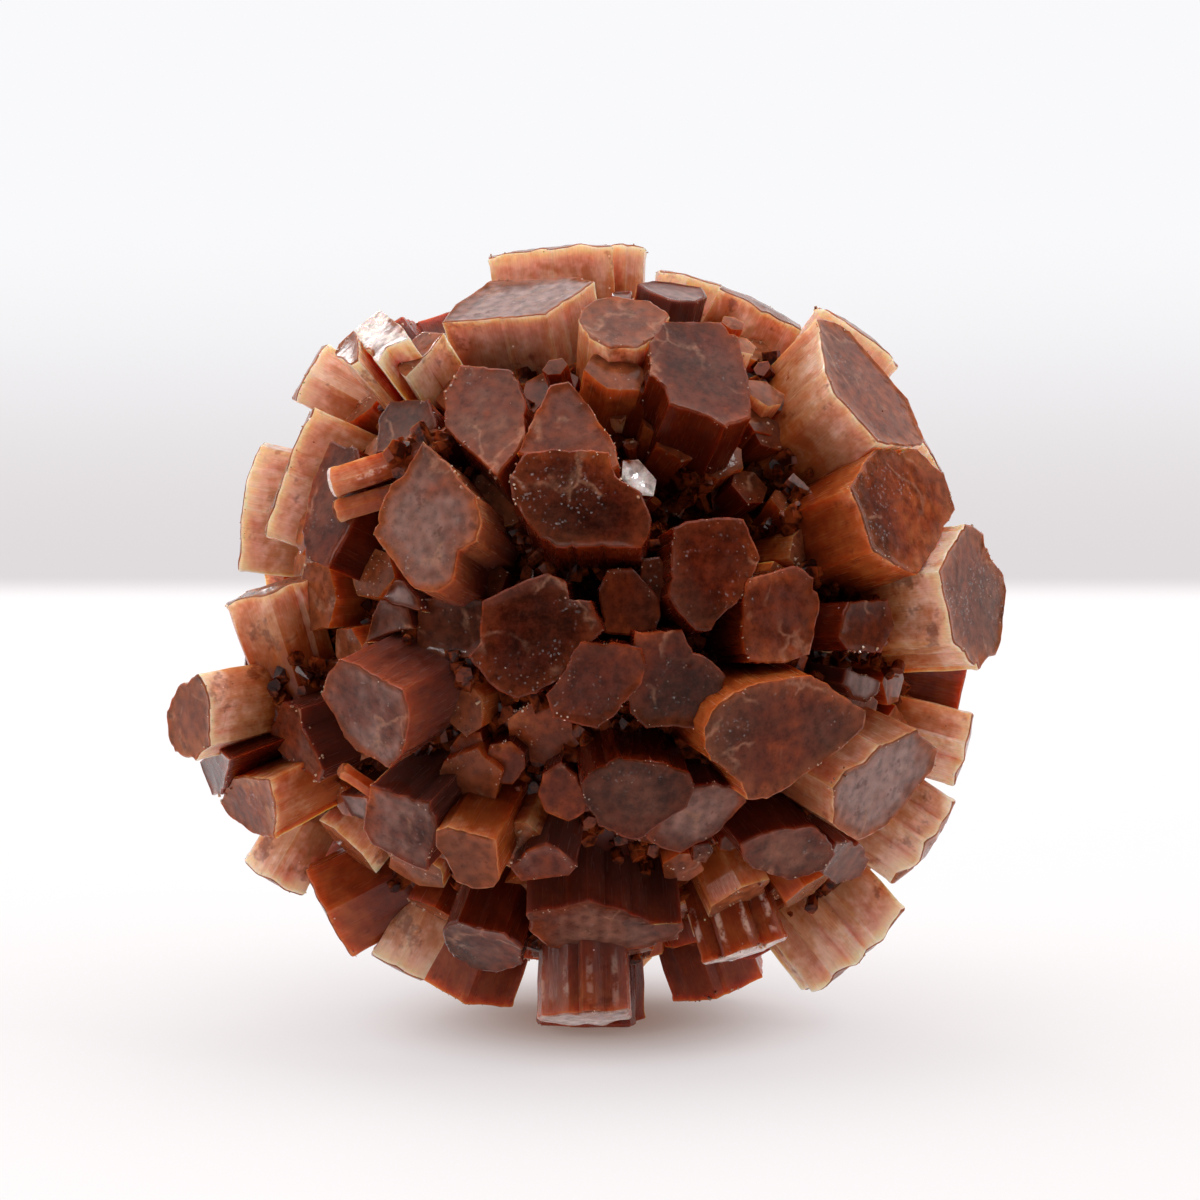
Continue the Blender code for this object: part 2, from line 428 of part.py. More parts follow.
def keep_outer_shell(obj):
    """Gives the object its united mesh, with the pockets that are sealed inside it filled."""
    graph = bpy.context.evaluated_depsgraph_get()
    united = bpy.data.meshes.new_from_object(obj.evaluated_get(graph))
    obj.modifiers.clear()
    shape = bmesh.new()
    shape.from_mesh(united)
    shells, seen = [], set()
    for first in shape.verts:
        if first in seen:
            continue
        shell, waiting = [], [first]
        seen.add(first)
        while waiting:
            vertex = waiting.pop()
            shell.append(vertex)
            for edge in vertex.link_edges:
                other = edge.other_vert(vertex)
                if other not in seen:
                    seen.add(other)
                    waiting.append(other)
        shells.append(shell)
    shells.sort(key=len)
    for shell in shells[:-1]:
        bmesh.ops.delete(shape, geom=shell, context="VERTS")
    shape.to_mesh(united)
    shape.free()
    obj.data = united


def stone_material():
    material = bpy.data.materials.new("aragonite")
    material.use_nodes = True
    shader = material.node_tree.nodes["Principled BSDF"]
    shader.inputs["Base Color"].default_value = (0.20, 0.075, 0.035, 1)
    shader.inputs["Roughness"].default_value = 0.45
    shader.inputs["IOR"].default_value = 1.6
    material.diffuse_color = (0.20, 0.075, 0.035, 1)
    return material


def clear_scene():
    for old in list(bpy.data.objects):
        bpy.data.objects.remove(old, do_unlink=True)


def build():
    clear_scene()
    prisms = bmesh.new()
    for crystal in all_crystals():
        add_prism(prisms, *crystal)
    crystals = mesh_object("crystals", prisms)
    crystals.hide_render = True
    cluster = root_mass()
    cluster.data.materials.append(stone_material())
    union = cluster.modifiers.new("grown together", "BOOLEAN")
    union.operation = "UNION"
    union.solver = "EXACT"
    union.use_self = True
    union.object = crystals
    keep_outer_shell(cluster)
    bpy.data.objects.remove(crystals, do_unlink=True)


build()
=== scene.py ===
# %% [markdown]
# # An aragonite cluster
# The thing we build is a ball of aragonite, a calcium carbonate. Reddish-brown crystals with six
# uneven sides grow outwards from one dark middle, and each ends in a flat cap. We start from the
# solid that the CAD model holds, keep its size and its place, and grow a finer ball over it.

# %% Load the frame
import json
import math
import random
from bisect import bisect

import bmesh
import bpy
from mathutils import Matrix, Quaternion, Vector, noise

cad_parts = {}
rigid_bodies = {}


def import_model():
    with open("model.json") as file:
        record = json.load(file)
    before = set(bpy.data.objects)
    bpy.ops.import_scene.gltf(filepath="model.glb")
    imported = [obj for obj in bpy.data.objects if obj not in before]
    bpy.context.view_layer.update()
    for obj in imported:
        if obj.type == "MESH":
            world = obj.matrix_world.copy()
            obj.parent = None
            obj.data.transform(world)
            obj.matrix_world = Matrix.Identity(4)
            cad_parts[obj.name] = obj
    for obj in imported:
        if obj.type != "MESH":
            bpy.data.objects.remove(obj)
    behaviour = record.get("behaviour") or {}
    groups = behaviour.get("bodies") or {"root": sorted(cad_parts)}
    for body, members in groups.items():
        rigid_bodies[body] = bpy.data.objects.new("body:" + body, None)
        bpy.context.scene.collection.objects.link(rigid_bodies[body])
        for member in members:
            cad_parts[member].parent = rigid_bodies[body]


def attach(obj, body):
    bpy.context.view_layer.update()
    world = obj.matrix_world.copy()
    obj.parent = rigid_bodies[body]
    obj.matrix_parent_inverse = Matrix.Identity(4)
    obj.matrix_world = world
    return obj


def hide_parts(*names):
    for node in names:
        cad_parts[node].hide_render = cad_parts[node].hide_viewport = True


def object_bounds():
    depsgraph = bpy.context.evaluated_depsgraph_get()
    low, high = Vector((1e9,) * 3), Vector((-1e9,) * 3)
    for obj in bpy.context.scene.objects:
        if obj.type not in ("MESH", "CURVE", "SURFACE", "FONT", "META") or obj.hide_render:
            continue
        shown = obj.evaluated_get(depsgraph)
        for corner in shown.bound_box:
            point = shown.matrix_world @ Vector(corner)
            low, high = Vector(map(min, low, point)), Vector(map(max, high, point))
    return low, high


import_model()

CAD_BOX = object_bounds()
print("CAD box in mm:", [[round(v * 1000, 1) for v in corner] for corner in CAD_BOX])

# %% [markdown]
# ## Where we stand
# Every crystal at the front was measured as the eye sees it: millimetres to the right of the
# ball's middle, and millimetres above it. So the first thing to fix is the eye itself. It looks
# down a little, from about 42 cm away. We could set every crystal by its place in space, but it
# is much easier to read a cap's corners off a flat picture and let the computer find their depth.

# %% The eye and the ball's middle
MM = 0.001
MIDDLE_HEIGHT = 28.3
LOOK_DOWN = math.radians(8.0)
SINE, COSINE = math.sin(LOOK_DOWN), math.cos(LOOK_DOWN)
EYE = Vector((0.36, 2.14, 420.0))


def in_world(point):
    """From right, up and towards the eye, about the ball's middle, to the scene in millimetres."""
    across, up, towards = point
    return Vector((across, up * SINE - towards * COSINE,
                   up * COSINE + towards * SINE + MIDDLE_HEIGHT))


def from_world(direction):
    """A direction of the scene, as right, up and towards the eye."""
    return Vector((direction.x, direction.y * SINE + direction.z * COSINE,
                   direction.z * SINE - direction.y * COSINE))


print("eye in the scene, mm:", [round(v, 1) for v in in_world(EYE)])

# %% [markdown]
# ## A long lens
# The photograph was taken with a long lens, so the far crystals look hardly smaller than the near
# ones. A short lens close by could frame the ball too, but the ball would bulge towards us. We
# know how wide the picture is at the ball's middle, and that gives the focal length.

# %% The camera
PICTURE_WIDTH = 85.714
SENSOR_WIDTH = 36


def set_up_camera():
    """A long lens at the eye, level from side to side."""
    lens = bpy.data.cameras.new("macro lens")
    lens.sensor_width = SENSOR_WIDTH
    lens.lens = SENSOR_WIDTH * EYE.z / PICTURE_WIDTH
    lens.clip_start, lens.clip_end = 0.02, 20
    camera = bpy.data.objects.new("camera", lens)
    forward = Vector((0, COSINE, -SINE))
    upward = Vector((0, SINE, COSINE))
    turn = Matrix((Vector((1, 0, 0)), upward, -forward)).transposed()
    camera.matrix_world = Matrix.Translation(in_world(EYE) * MM) @ turn.to_4x4()
    bpy.context.scene.collection.objects.link(camera)
    bpy.context.scene.camera = camera
    return camera


camera = set_up_camera()
print("focal length:", round(camera.data.lens, 1), "mm")

# %% [markdown]
# ## The root mass in numbers
# The crystals have their roots in a lumpy mass with a dark hollow at the upper right. The roots
# hardly show, and we could leave them out, but then the gaps would open into an empty shell.
# Here are the mass's size and the hollow's, and how far down the crystals reach.

# %% The ball
ROOT_DEPTH = 11.0
CORE_RADIUS = 20.6
CORE_ROUGHNESS = 1.2
ROOT_TAPER = 0.86
HOLLOW = (7.6, 10.2, 15.0)
HOLLOW_ANGLE = math.radians(18)
HOLLOW_DEPTH = 6.0
print("root mass:", CORE_RADIUS, "mm in radius")

# %% [markdown]
# ## The crystals at the front
# Each crystal at the front shows a flat cap with an uneven outline of its own, and these outlines
# make this cluster the one it is. A rule could scatter hexagons, but none of them would match. So
# we list each cap: its name, its reach, which is how far it lies from the ball's middle, and its
# corners, to the right and up. A few axes lean away from the ball's middle.

# %% The caps that face the eye
FRONT_CAPS = [
    ("top plate", 25.8, [(-11.0, 21.9), (-3.5, 22.5), (-2.6, 23.1), (0.0, 24.9), (-1.3, 25.2),
     (-7.5, 24.9), (-10.1, 23.1)]),
    ("top big", 27.0, [(-0.9, 22.9), (0.2, 23.6), (1.6, 23.8), (4.0, 23.5), (5.4, 22.4),
     (4.6, 21.0), (3.0, 20.2), (1.1, 20.1), (-0.4, 20.9), (-1.1, 22.0)]),
    ("top second", 27.5, [(3.9, 20.4), (4.9, 22.0), (8.9, 22.0), (10.3, 20.9), (10.7, 18.9),
     (11.1, 17.0), (11.1, 15.2), (9.3, 14.5), (7.4, 15.6), (5.3, 16.1), (5.0, 17.3), (3.9, 18.2)]),
    ("top grazing", 25.5, [(2.9, 24.7), (4.0, 24.1), (5.4, 23.5), (7.2, 23.4), (8.0, 23.8),
     (7.6, 24.4), (5.4, 24.8), (4.0, 24.9)]),
    ("top left orange", 26.5, [(-12.3, 21.3), (-10.8, 21.2), (-11.8, 19.9), (-13.5, 18.1),
     (-14.1, 18.7), (-13.6, 20.3)]),
    ("left top white", 28.0, [(-15.4, 22.9), (-14.0, 21.9), (-13.2, 20.8), (-14.9, 20.2),
     (-15.5, 19.0), (-17.0, 20.8), (-17.1, 21.5)]),
    ("left top small", 28.3, [(-17.2, 21.4), (-18.3, 20.4), (-18.6, 19.7), (-17.4, 18.9),
     (-16.9, 19.2), (-16.9, 20.8)]),
    ("upper left", 26.5, [(-9.6, 18.9), (-5.8, 18.6), (-5.0, 16.0), (-5.0, 13.9), (-5.8, 12.4),
     (-7.0, 11.1), (-9.3, 13.0), (-10.8, 14.6), (-10.8, 17.0)]),
    ("upper middle", 26.8, [(-4.3, 15.4), (-3.2, 17.5), (-1.9, 17.8), (-0.3, 15.8), (1.5, 13.1),
     (1.8, 11.6), (0.0, 11.0), (-3.0, 11.5), (-5.6, 12.6)]),
    ("small left", 26.0, [(-14.6, 16.3), (-11.9, 16.5), (-11.4, 14.6), (-12.0, 13.4),
     (-13.4, 12.8), (-15.6, 12.6), (-15.4, 15.1)]),
    ("right tall", 28.4, [(15.9, 22.1), (16.9, 22.1), (18.1, 21.4), (19.7, 19.5), (21.4, 17.5),
     (22.4, 16.4), (23.5, 13.6), (23.2, 13.1), (21.6, 13.1), (20.2, 13.4), (18.8, 14.9),
     (17.0, 16.9), (16.4, 18.6)]),
    ("right upper", 28.4, [(20.1, 13.0), (23.0, 12.9), (23.9, 12.0), (25.0, 11.2), (25.7, 8.6),
     (24.8, 7.0), (24.0, 5.4), (23.0, 3.9), (20.9, 5.0), (19.9, 5.6), (19.0, 8.3), (18.2, 10.1),
     (19.3, 11.9)]),
    ("right middle", 29.6, [(26.4, 7.7), (27.7, 6.9), (28.2, 5.2), (29.2, 3.9), (29.4, 2.8),
     (29.0, -0.8), (28.6, -1.8), (28.0, -2.1), (27.4, -2.9), (25.6, -0.9), (25.0, 1.9),
     (24.5, 4.2), (25.2, 5.6)]),
    ("right small", 26.5, [(18.1, 2.0), (20.9, 2.2), (21.4, 0.3), (20.4, -1.6), (18.0, -1.4),
     (17.4, -0.5), (17.7, 1.0)]),
    ("right dark", 26.9, [(10.9, 3.8), (12.5, 4.0), (14.2, 4.6), (15.6, 3.7), (16.0, 2.0),
     (15.4, -1.9), (13.4, -2.4), (11.0, -2.3), (10.6, -0.6), (10.7, 2.2)]),
    ("centre top", 28.0, [(-4.9, 12.6), (-3.0, 12.8), (1.0, 12.7), (1.5, 11.0), (3.3, 9.8),
     (4.1, 7.9), (4.0, 7.2), (3.3, 5.9), (-2.8, 5.9), (-3.9, 6.5), (-4.9, 7.9), (-5.9, 9.4),
     (-6.1, 10.9)]),
    ("centre right", 26.8, [(5.6, 7.3), (7.6, 8.0), (10.6, 7.9), (11.8, 5.1), (11.2, 3.9),
     (10.6, 2.4), (9.0, 1.0), (8.3, -0.1), (7.2, -0.1), (5.1, 2.5), (5.4, 4.8)]),
    ("centre left", 27.5, [(-8.0, 2.0), (-4.1, 3.9), (-3.3, 4.1), (-2.1, 3.4), (-1.8, 2.2),
     (-0.4, 2.0), (0.5, 0.0), (-0.6, -1.2), (-2.6, -3.4), (-4.2, -4.6), (-5.8, -4.8),
     (-7.4, -3.9), (-9.0, -1.9), (-8.2, -0.9)]),
    ("centre low", 27.8, [(-1.0, -0.9), (1.2, -0.8), (3.4, -1.3), (3.6, -2.6), (3.3, -3.8),
     (1.3, -6.3), (0.2, -7.0), (-0.9, -6.9), (-3.0, -6.3), (-3.4, -4.6)]),
    ("centre right low", 27.0, [(2.9, -0.1), (6.2, -0.1), (7.0, -1.7), (8.3, -2.2), (9.2, -3.3),
     (9.0, -5.0), (7.8, -7.0), (3.7, -7.0), (2.6, -5.9), (2.2, -4.0)]),
    ("centre small", 25.6, [(0.2, 3.0), (1.0, 4.3), (2.6, 4.4), (4.6, 2.3), (4.7, 1.0),
     (4.4, 0.0), (2.0, -0.5), (0.6, -0.2)]),
    ("centre sliver", 25.0, [(3.4, 5.1), (4.6, 5.2), (5.2, 4.2), (4.9, 2.0), (3.0, 2.6)]),
    ("left big", 27.6, [(-12.3, 13.4), (-10.2, 11.5), (-8.7, 9.6), (-8.2, 7.9), (-8.5, 6.4),
     (-9.7, 5.6), (-10.2, 3.6), (-11.3, 2.6), (-12.9, 2.9), (-14.0, 4.4), (-15.2, 6.0),
     (-15.8, 6.9), (-15.4, 8.6), (-14.6, 10.3), (-13.6, 11.3)]),
    ("left dark", 26.2, [(-18.9, 13.5), (-16.9, 12.9), (-16.3, 10.0), (-17.6, 7.0), (-19.0, 4.4),
     (-20.6, 5.2), (-20.9, 7.0), (-20.2, 10.4)]),
    ("left middle", 28.0, [(-18.1, -2.1), (-18.9, -3.0), (-19.5, -4.6), (-18.5, -6.4),
     (-17.9, -7.7), (-16.9, -8.7), (-14.7, -9.8), (-13.9, -9.1), (-13.2, -6.5), (-13.7, -4.3),
     (-14.9, -3.6), (-16.8, -2.6)]),
    ("left low", 27.4, [(-16.1, -11.1), (-14.0, -11.7), (-11.8, -12.3), (-11.3, -14.0),
     (-11.6, -15.2), (-12.0, -17.2), (-13.6, -16.7), (-15.9, -15.3), (-16.6, -14.2)]),
    ("low left small", 28.0, [(-11.3, -14.4), (-10.5, -14.1), (-8.5, -14.6), (-7.1, -15.0),
     (-6.9, -17.9), (-7.2, -18.4), (-8.8, -18.5), (-9.9, -17.9), (-10.5, -16.6), (-11.4, -15.4)]),
    ("right low big", 28.3, [(10.0, -4.5), (12.0, -3.6), (15.5, -3.3), (17.6, -4.6), (19.3, -5.8),
     (19.2, -7.0), (17.7, -8.4), (15.2, -10.2), (13.3, -11.5), (12.3, -12.1), (11.0, -12.0),
     (10.5, -10.9), (8.3, -9.3), (7.9, -8.4), (7.9, -7.0), (8.4, -5.8)]),
    ("right low pale", 28.0, [(17.0, -11.3), (17.9, -10.1), (19.3, -9.4), (20.3, -8.3),
     (23.0, -7.1), (24.5, -8.6), (24.0, -10.1), (22.0, -12.6), (20.9, -13.9), (18.7, -15.1),
     (17.0, -13.8)]),
    ("low centre", 27.8, [(0.3, -9.8), (1.7, -9.1), (4.4, -9.4), (6.6, -10.3), (7.1, -11.3),
     (6.5, -12.6), (3.4, -14.8), (2.6, -14.9), (0.3, -14.0), (-0.9, -11.7), (-0.8, -10.9)]),
    ("low centre grey", 26.0, [(6.0, -11.4), (8.5, -11.0), (10.8, -11.4), (10.8, -12.3),
     (8.4, -14.7), (6.1, -16.0), (5.0, -15.8), (3.7, -14.9), (4.4, -13.0)]),
    ("low right", 26.8, [(10.4, -15.3), (12.0, -14.5), (15.5, -13.9), (16.6, -14.9),
     (17.2, -16.0), (16.4, -17.1), (14.0, -17.9), (11.4, -17.0), (10.5, -16.2)]),
    ("low right edge", 26.6, [(17.2, -15.2), (18.9, -15.1), (19.6, -16.4), (19.0, -17.6),
     (17.2, -18.2), (16.2, -17.3)]),
    ("low grey", 25.4, [(-6.0, -17.0), (-4.8, -15.7), (-3.5, -15.2), (-2.6, -15.6), (-1.3, -16.9),
     (-1.9, -17.5), (-5.2, -17.9)]),
    ("bottom wide", 25.6, [(-4.8, -20.2), (-2.2, -19.8), (-0.5, -19.3), (2.4, -20.3),
     (4.3, -21.0), (6.3, -20.9), (6.0, -22.0), (3.6, -22.7), (0.0, -23.1), (-3.2, -22.7),
     (-4.6, -21.6)]),
    ("left blade", 26.0, [(-22.3, -5.2), (-21.0, -5.6), (-20.9, -7.0), (-20.0, -8.6),
     (-19.4, -10.0), (-19.8, -10.8), (-22.0, -9.2), (-23.2, -8.1), (-23.2, -7.2)]),
    ("left grey upper", 24.6, [(-14.3, 3.6), (-13.6, 3.5), (-12.6, 2.2), (-12.3, 1.3),
     (-14.5, 1.9), (-15.1, 2.3)]),
    ("left grey lower", 24.2, [(-15.3, 2.1), (-13.4, 1.6), (-12.9, 0.1), (-14.6, -0.2),
     (-16.4, -0.9), (-15.9, 1.1)]),
    ("left grey small", 24.5, [(-18.2, -11.7), (-16.1, -11.9), (-16.2, -13.6), (-17.3, -13.3),
     (-17.8, -12.6)]),
    ("left behind", 23.6, [(-12.6, 2.2), (-8.0, 2.2), (-7.8, -1.0), (-9.0, -2.0), (-11.0, -2.1),
     (-12.7, -1.5)]),
    ("low dark first", 22.8, [(-10.4, -8.5), (-9.6, -7.3), (-8.2, -7.3), (-7.9, -8.6),
     (-8.6, -9.3), (-10.0, -9.4)]),
    ("low dark second", 23.2, [(-7.5, -8.2), (-6.0, -7.9), (-5.1, -8.8), (-5.0, -9.9),
     (-5.9, -11.0), (-7.4, -10.9), (-8.0, -9.8)]),
    ("low dark third", 24.0, [(-2.4, -9.4), (-1.3, -10.4), (-0.6, -11.9), (-0.8, -13.0),
     (-1.9, -13.7), (-3.5, -13.1), (-4.1, -11.7), (-3.7, -10.3)]),
    ("low gap left", 23.8, [(7.0, -15.4), (8.1, -15.2), (8.4, -15.8), (7.9, -16.6), (7.0, -16.5)]),
    ("low gap right", 24.2, [(9.0, -14.9), (10.2, -13.9), (10.4, -15.2), (9.7, -15.8),
     (8.9, -15.7)]),
    ("right gap grey", 24.4, [(18.0, -2.8), (19.6, -3.3), (20.4, -3.7), (20.2, -4.5),
     (19.4, -5.2), (18.6, -5.0), (17.7, -3.9)]),
    ("bright facet", 23.4, [(2.0, 12.1), (3.1, 12.2), (4.4, 10.7), (4.2, 9.5), (3.0, 9.6),
     (1.9, 10.8)]),
    ("left far", 31.4, [(-28.3, -3.0), (-29.9, -4.3), (-30.6, -5.8), (-30.5, -7.6), (-30.0, -8.7),
     (-28.5, -9.4), (-27.5, -8.2), (-27.4, -5.4), (-27.7, -3.9)]),
    ("left low far", 29.0, [(-25.6, -10.4), (-23.2, -10.7), (-22.7, -13.0), (-22.8, -14.9),
     (-24.2, -14.6), (-26.2, -13.2), (-26.8, -12.3), (-26.4, -11.3)]),
    ("left low behind", 29.6, [(-28.2, -9.4), (-27.3, -11.8), (-26.6, -11.7), (-26.0, -9.2),
     (-27.0, -8.4)]),
    ("bottom left brown", 26.6, [(-10.8, -21.3), (-9.8, -20.8), (-8.5, -21.2), (-6.5, -21.6),
     (-5.2, -22.7), (-5.3, -23.9), (-7.0, -24.5), (-8.8, -24.1), (-10.1, -23.3), (-10.7, -22.5)]),
    ("top small grey", 25.0, [(1.2, 24.1), (2.6, 24.2), (2.7, 23.5), (1.3, 23.3)]),
]
LEANS = {"left middle": (-0.08, -0.16, -0.1), "bright facet": (0.25, 0.12, 0.3),
         "left far": (0, 0, 0.2), "left low far": (0, 0, 0.12)}
print(len(FRONT_CAPS), "caps face the eye")

# %% [markdown]
# ## The crystals seen from the side
# Along the outline we see prisms from the side, their caps edge-on, and under the ball stand a
# few feet. No outline of a cap can be read off there. So each row gives the middle of the cap
# (right, up, towards the eye), the axis in the same way, the width, the depth along the line of
# sight and the length. A foot has its lean from straight down and its turn about the upright
# axis, both in degrees, then its width and how far it ends above the table.

# %% The side prisms and the feet
SIDE_PRISMS = [
    ("top back box", (-3.4, 27.4, -1.6), (-0.11, 0.99, 0.05), 8.4, 6.5, 14),
    ("top back pale", (2.3, 27.5, -4.0), (0.05, 1.0, -0.1), 2.7, 3.5, 14),
    ("top back tan", (6.9, 25.4, -1.5), (0.25, 0.96, 0.0), 4.8, 5.0, 13),
    ("top right slab", (12.1, 23.3, 4.0), (0.454, 0.885, 0.10), 6.2, 6.5, 14),
    ("top right behind", (19.1, 21.4, -3.0), (0.60, 0.80, -0.03), 7.0, 6.0, 15),
    ("right behind", (24.2, 12.6, -3.0), (0.86, 0.50, 0.0), 3.6, 5.0, 14),
    ("right edge upper", (26.6, -8.6, 3.0), (0.96, -0.27, 0.02), 5.0, 6.5, 14),
    ("right edge lower", (24.1, -15.5, 1.0), (0.82, -0.57, -0.02), 7.2, 6.5, 15),
    ("left long plate", (-22.2, 11.5, 7.0), (-0.93, 0.36, 0.07), 9.2, 6.0, 13),
    ("left behind plate", (-24.9, 9.0, -2.5), (-0.98, 0.17, -0.05), 8.8, 6.0, 13),
    ("left top pale", (-20.7, 18.6, 2.0), (-0.87, 0.49, 0.05), 4.3, 5.0, 15),
    ("left upright", (-23.3, 3.2, 11.0), (-0.30, 0.95, 0.10), 6.2, 6.0, 12),
    ("left bottom pale", (-23.1, -18.0, -2.5), (-0.50, -0.86, -0.03), 4.7, 5.0, 15),
    ("bottom left long", (-19.2, -20.2, 0.0), (-0.88, -0.46, -0.05), 6.8, 7.0, 15),
    ("bottom left cream", (-14.3, -24.3, 1.0), (-0.49, -0.87, 0.0), 4.0, 5.0, 15),
    ("bottom right prism", (10.8, -23.3, 8.0), (0.30, -0.94, 0.12), 6.0, 6.0, 13),
    ("bottom right shell", (18.9, -23.5, -1.0), (0.64, -0.77, 0.0), 9.0, 5.5, 16),
    ("orange stick upper", (-19.1, 10.4, 18.6), (-0.94, -0.30, -0.16), 2.1, 2.2, 8),
    ("orange stick lower", (-18.7, 8.4, 18.7), (-0.95, -0.28, -0.12), 1.5, 1.6, 7),
    ("orange stick low", (-18.3, -9.8, 19.0), (-0.80, 0.55, 0.20), 1.1, 1.3, 8),
    ("bottom leg", (-0.8, -28.0, 13.0), (0.02, -0.97, 0.22), 6.2, 6.0, 13),
    ("bottom pale strip", (-4.0, -23.4, 7.0), (-0.05, -0.99, 0.10), 0.9, 2.4, 11),
]
FEET = [
    ("front foot", 9.0, -98.0, 6.6, 0.03),
    ("left foot", 22.0, 152.0, 7.2, 0.03),
    ("right foot", 23.0, 38.0, 6.8, 0.03),
]
REST_WIDTH = 7.0
print(len(SIDE_PRISMS), "prisms seen from the side,", len(FEET), "feet")

# %% [markdown]
# ## A rule for the rest
# The photograph doesn't show the back, and yet the ball has one. We could copy the front to it,
# but the eye spots a repeat at once. A rule with a seeded die gives other crystals of the same
# kind, and the same ones at each run. These are its numbers, and a table of the tiny crystals
# that stand in clumps at the front: right, up, reach and width.

# %% The rule and the clumps
SEED = 5
DIRECTIONS = 118
SEEN_LIMIT = 0.08
LIMB_LIMIT = -0.35
ROOM = 0.86
WIDTHS = (5.2, 9.6)
REACHES = (24.6, 28.6)
LIMB_REACH = 26.2
LOWEST = 0.6
LEAN = 0.07
CLUMP_LEAN = 0.22
SMALL_LEAN = 0.16
SMALL_DIRECTIONS = 240
SMALL_WIDTHS = (2.6, 5.2)
SMALL_REACHES = (21.6, 24.0)
CRYSTALLITES = [(12.2, 16.9, 25.0, 2.6), (13.7, 16.0, 24.6, 2.2), (11.8, 14.9, 24.0, 2.4),
                (14.6, 17.9, 25.6, 1.8), (10.5, 20.4, 27.2, 1.9), (9.9, 21.9, 27.6, 1.5),
                (13.9, 8.9, 22.6, 2.8), (16.3, 7.0, 23.2, 3.2), (14.8, 5.8, 23.4, 2.6),
                (18.2, 5.2, 24.2, 2.8), (12.9, 12.2, 21.6, 3.4), (15.9, 9.9, 23.0, 2.4),
                (1.5, 15.6, 23.6, 1.5), (2.5, 13.3, 22.6, 0.9), (-2.9, 18.8, 25.6, 1.6),
                (16.8, -0.6, 23.8, 2.0), (4.3, 17.6, 25.4, 3.6), (6.2, 13.6, 23.6, 3.4),
                (8.7, 12.4, 22.6, 3.2), (4.7, 14.7, 23.6, 2.6), (12.5, 14.0, 23.8, 2.6),
                (11.0, 10.2, 22.0, 2.8), (1.6, 18.4, 26.0, 4.2), (15.2, -18.6, 25.2, 3.6)]
print(DIRECTIONS, "directions to try,", len(CRYSTALLITES), "crystals in clumps")

# %% [markdown]
# ## From an outline to a cap in space
# A cap is flat, so its outline in the picture is enough. We put the middle of the cap at its
# reach, its distance from the middle of the ball. The crystal's axis runs on from there, away
# from the ball's middle. Then each corner is where the line of sight meets the plane of the cap.

# %% Lines of sight and the planes they meet
def sight(across, up):
    """The direction from the eye through a point of the picture plane in the ball's middle."""
    return (Vector((across, up, 0.0)) - EYE).normalized()


def point_at_reach(across, up, reach):
    """The nearer point where the line of sight is this far from the ball's middle."""
    ray = sight(across, up)
    along = EYE.dot(ray)
    inside = max(along * along - EYE.length_squared + reach * reach, 0.0)
    return EYE + ray * (-along - math.sqrt(inside))


def front_crystal(name, reach, corners):
    """A cap's corners in space, its middle, the crystal's axis and its length."""
    across, up = zip(*corners)
    middle = point_at_reach((min(across) + max(across)) / 2, (min(up) + max(up)) / 2, reach)
    axis = (middle.normalized() + Vector(LEANS.get(name, (0, 0, 0)))).normalized()
    ring = []
    for corner in corners:
        ray = sight(*corner)
        ring.append(EYE + ray * ((middle - EYE).dot(axis) / ray.dot(axis)))
    return ring, middle, axis, middle.dot(axis) - ROOT_DEPTH


_, plate_middle, _, _ = front_crystal(*FRONT_CAPS[0])
print("the top plate lies", round(plate_middle.z, 1), "mm in front of the ball's middle")

# %% [markdown]
# ## Six-sided prisms and feet
# Where we have no outline, a cap is a hexagon with a little chance in its angles and sizes, as no
# crystal grows evenly. A foot is slid along its axis until its lowest corner is just above the
# table, which is simpler than working out its reach by hand. One crystal stands straight down,
# and its level cap carries the ball.

# %% Hexagons, side prisms and feet
FLAT_SHARE = 0.866


def hexagon(middle, axis, side, half_width, half_depth, dice, spread):
    """The ring of an uneven six-sided cap, its first axis along side."""
    across = side - axis * side.dot(axis)
    across.normalize()
    deep = axis.cross(across)
    ring = []
    for k in range(6):
        angle = math.radians(60 * k + 30 + dice.uniform(-spread, spread) * 60)
        size = 1.0 + dice.uniform(-spread, spread)
        ring.append(middle + across * (math.cos(angle) * half_width * size / FLAT_SHARE)
                    + deep * (math.sin(angle) * half_depth * size))
    return ring


def side_crystal(middle, axis, width, depth, length, dice):
    """A prism whose cap is edge-on to the eye."""
    ray = sight(middle[0], middle[1])
    middle = EYE + ray * ((middle[2] - EYE.z) / ray.z)
    axis = Vector(axis).normalized()
    side = Vector((-axis.y, axis.x, 0.0))
    ring = hexagon(middle, axis, side, width / 2, depth / 2, dice, 0.07)
    return ring, middle, axis, length


def foot_crystal(lean, turn, width, clearance, dice):
    """A crystal slid along its axis until its lowest corner is this far above the ground."""
    lean, turn = math.radians(lean), math.radians(turn)
    down = Vector((math.sin(lean) * math.cos(turn), math.sin(lean) * math.sin(turn),
                   -math.cos(lean)))
    axis = from_world(down)
    ring = hexagon(Vector((0, 0, 0)), axis, Vector((1, 0, 0)), width / 2, width / 2, dice, 0.08)
    drop = max(-(in_world(p).z - MIDDLE_HEIGHT) for p in ring)
    reach = (MIDDLE_HEIGHT - clearance - drop) / math.cos(lean)
    return [p + axis * reach for p in ring], axis * reach, axis, reach - ROOT_DEPTH


def rest_crystal():
    """The crystal straight below the middle. Its level cap is the face that the ball rests on."""
    axis = from_world(Vector((0, 0, -1)))
    middle = axis * MIDDLE_HEIGHT
    ring = []
    for k in range(6):
        angle = math.radians(60 * k)
        offset = Vector((math.cos(angle), math.sin(angle), 0)) * (REST_WIDTH / 2)
        ring.append(middle + from_world(offset))
    return ring, middle, axis, MIDDLE_HEIGHT - ROOT_DEPTH


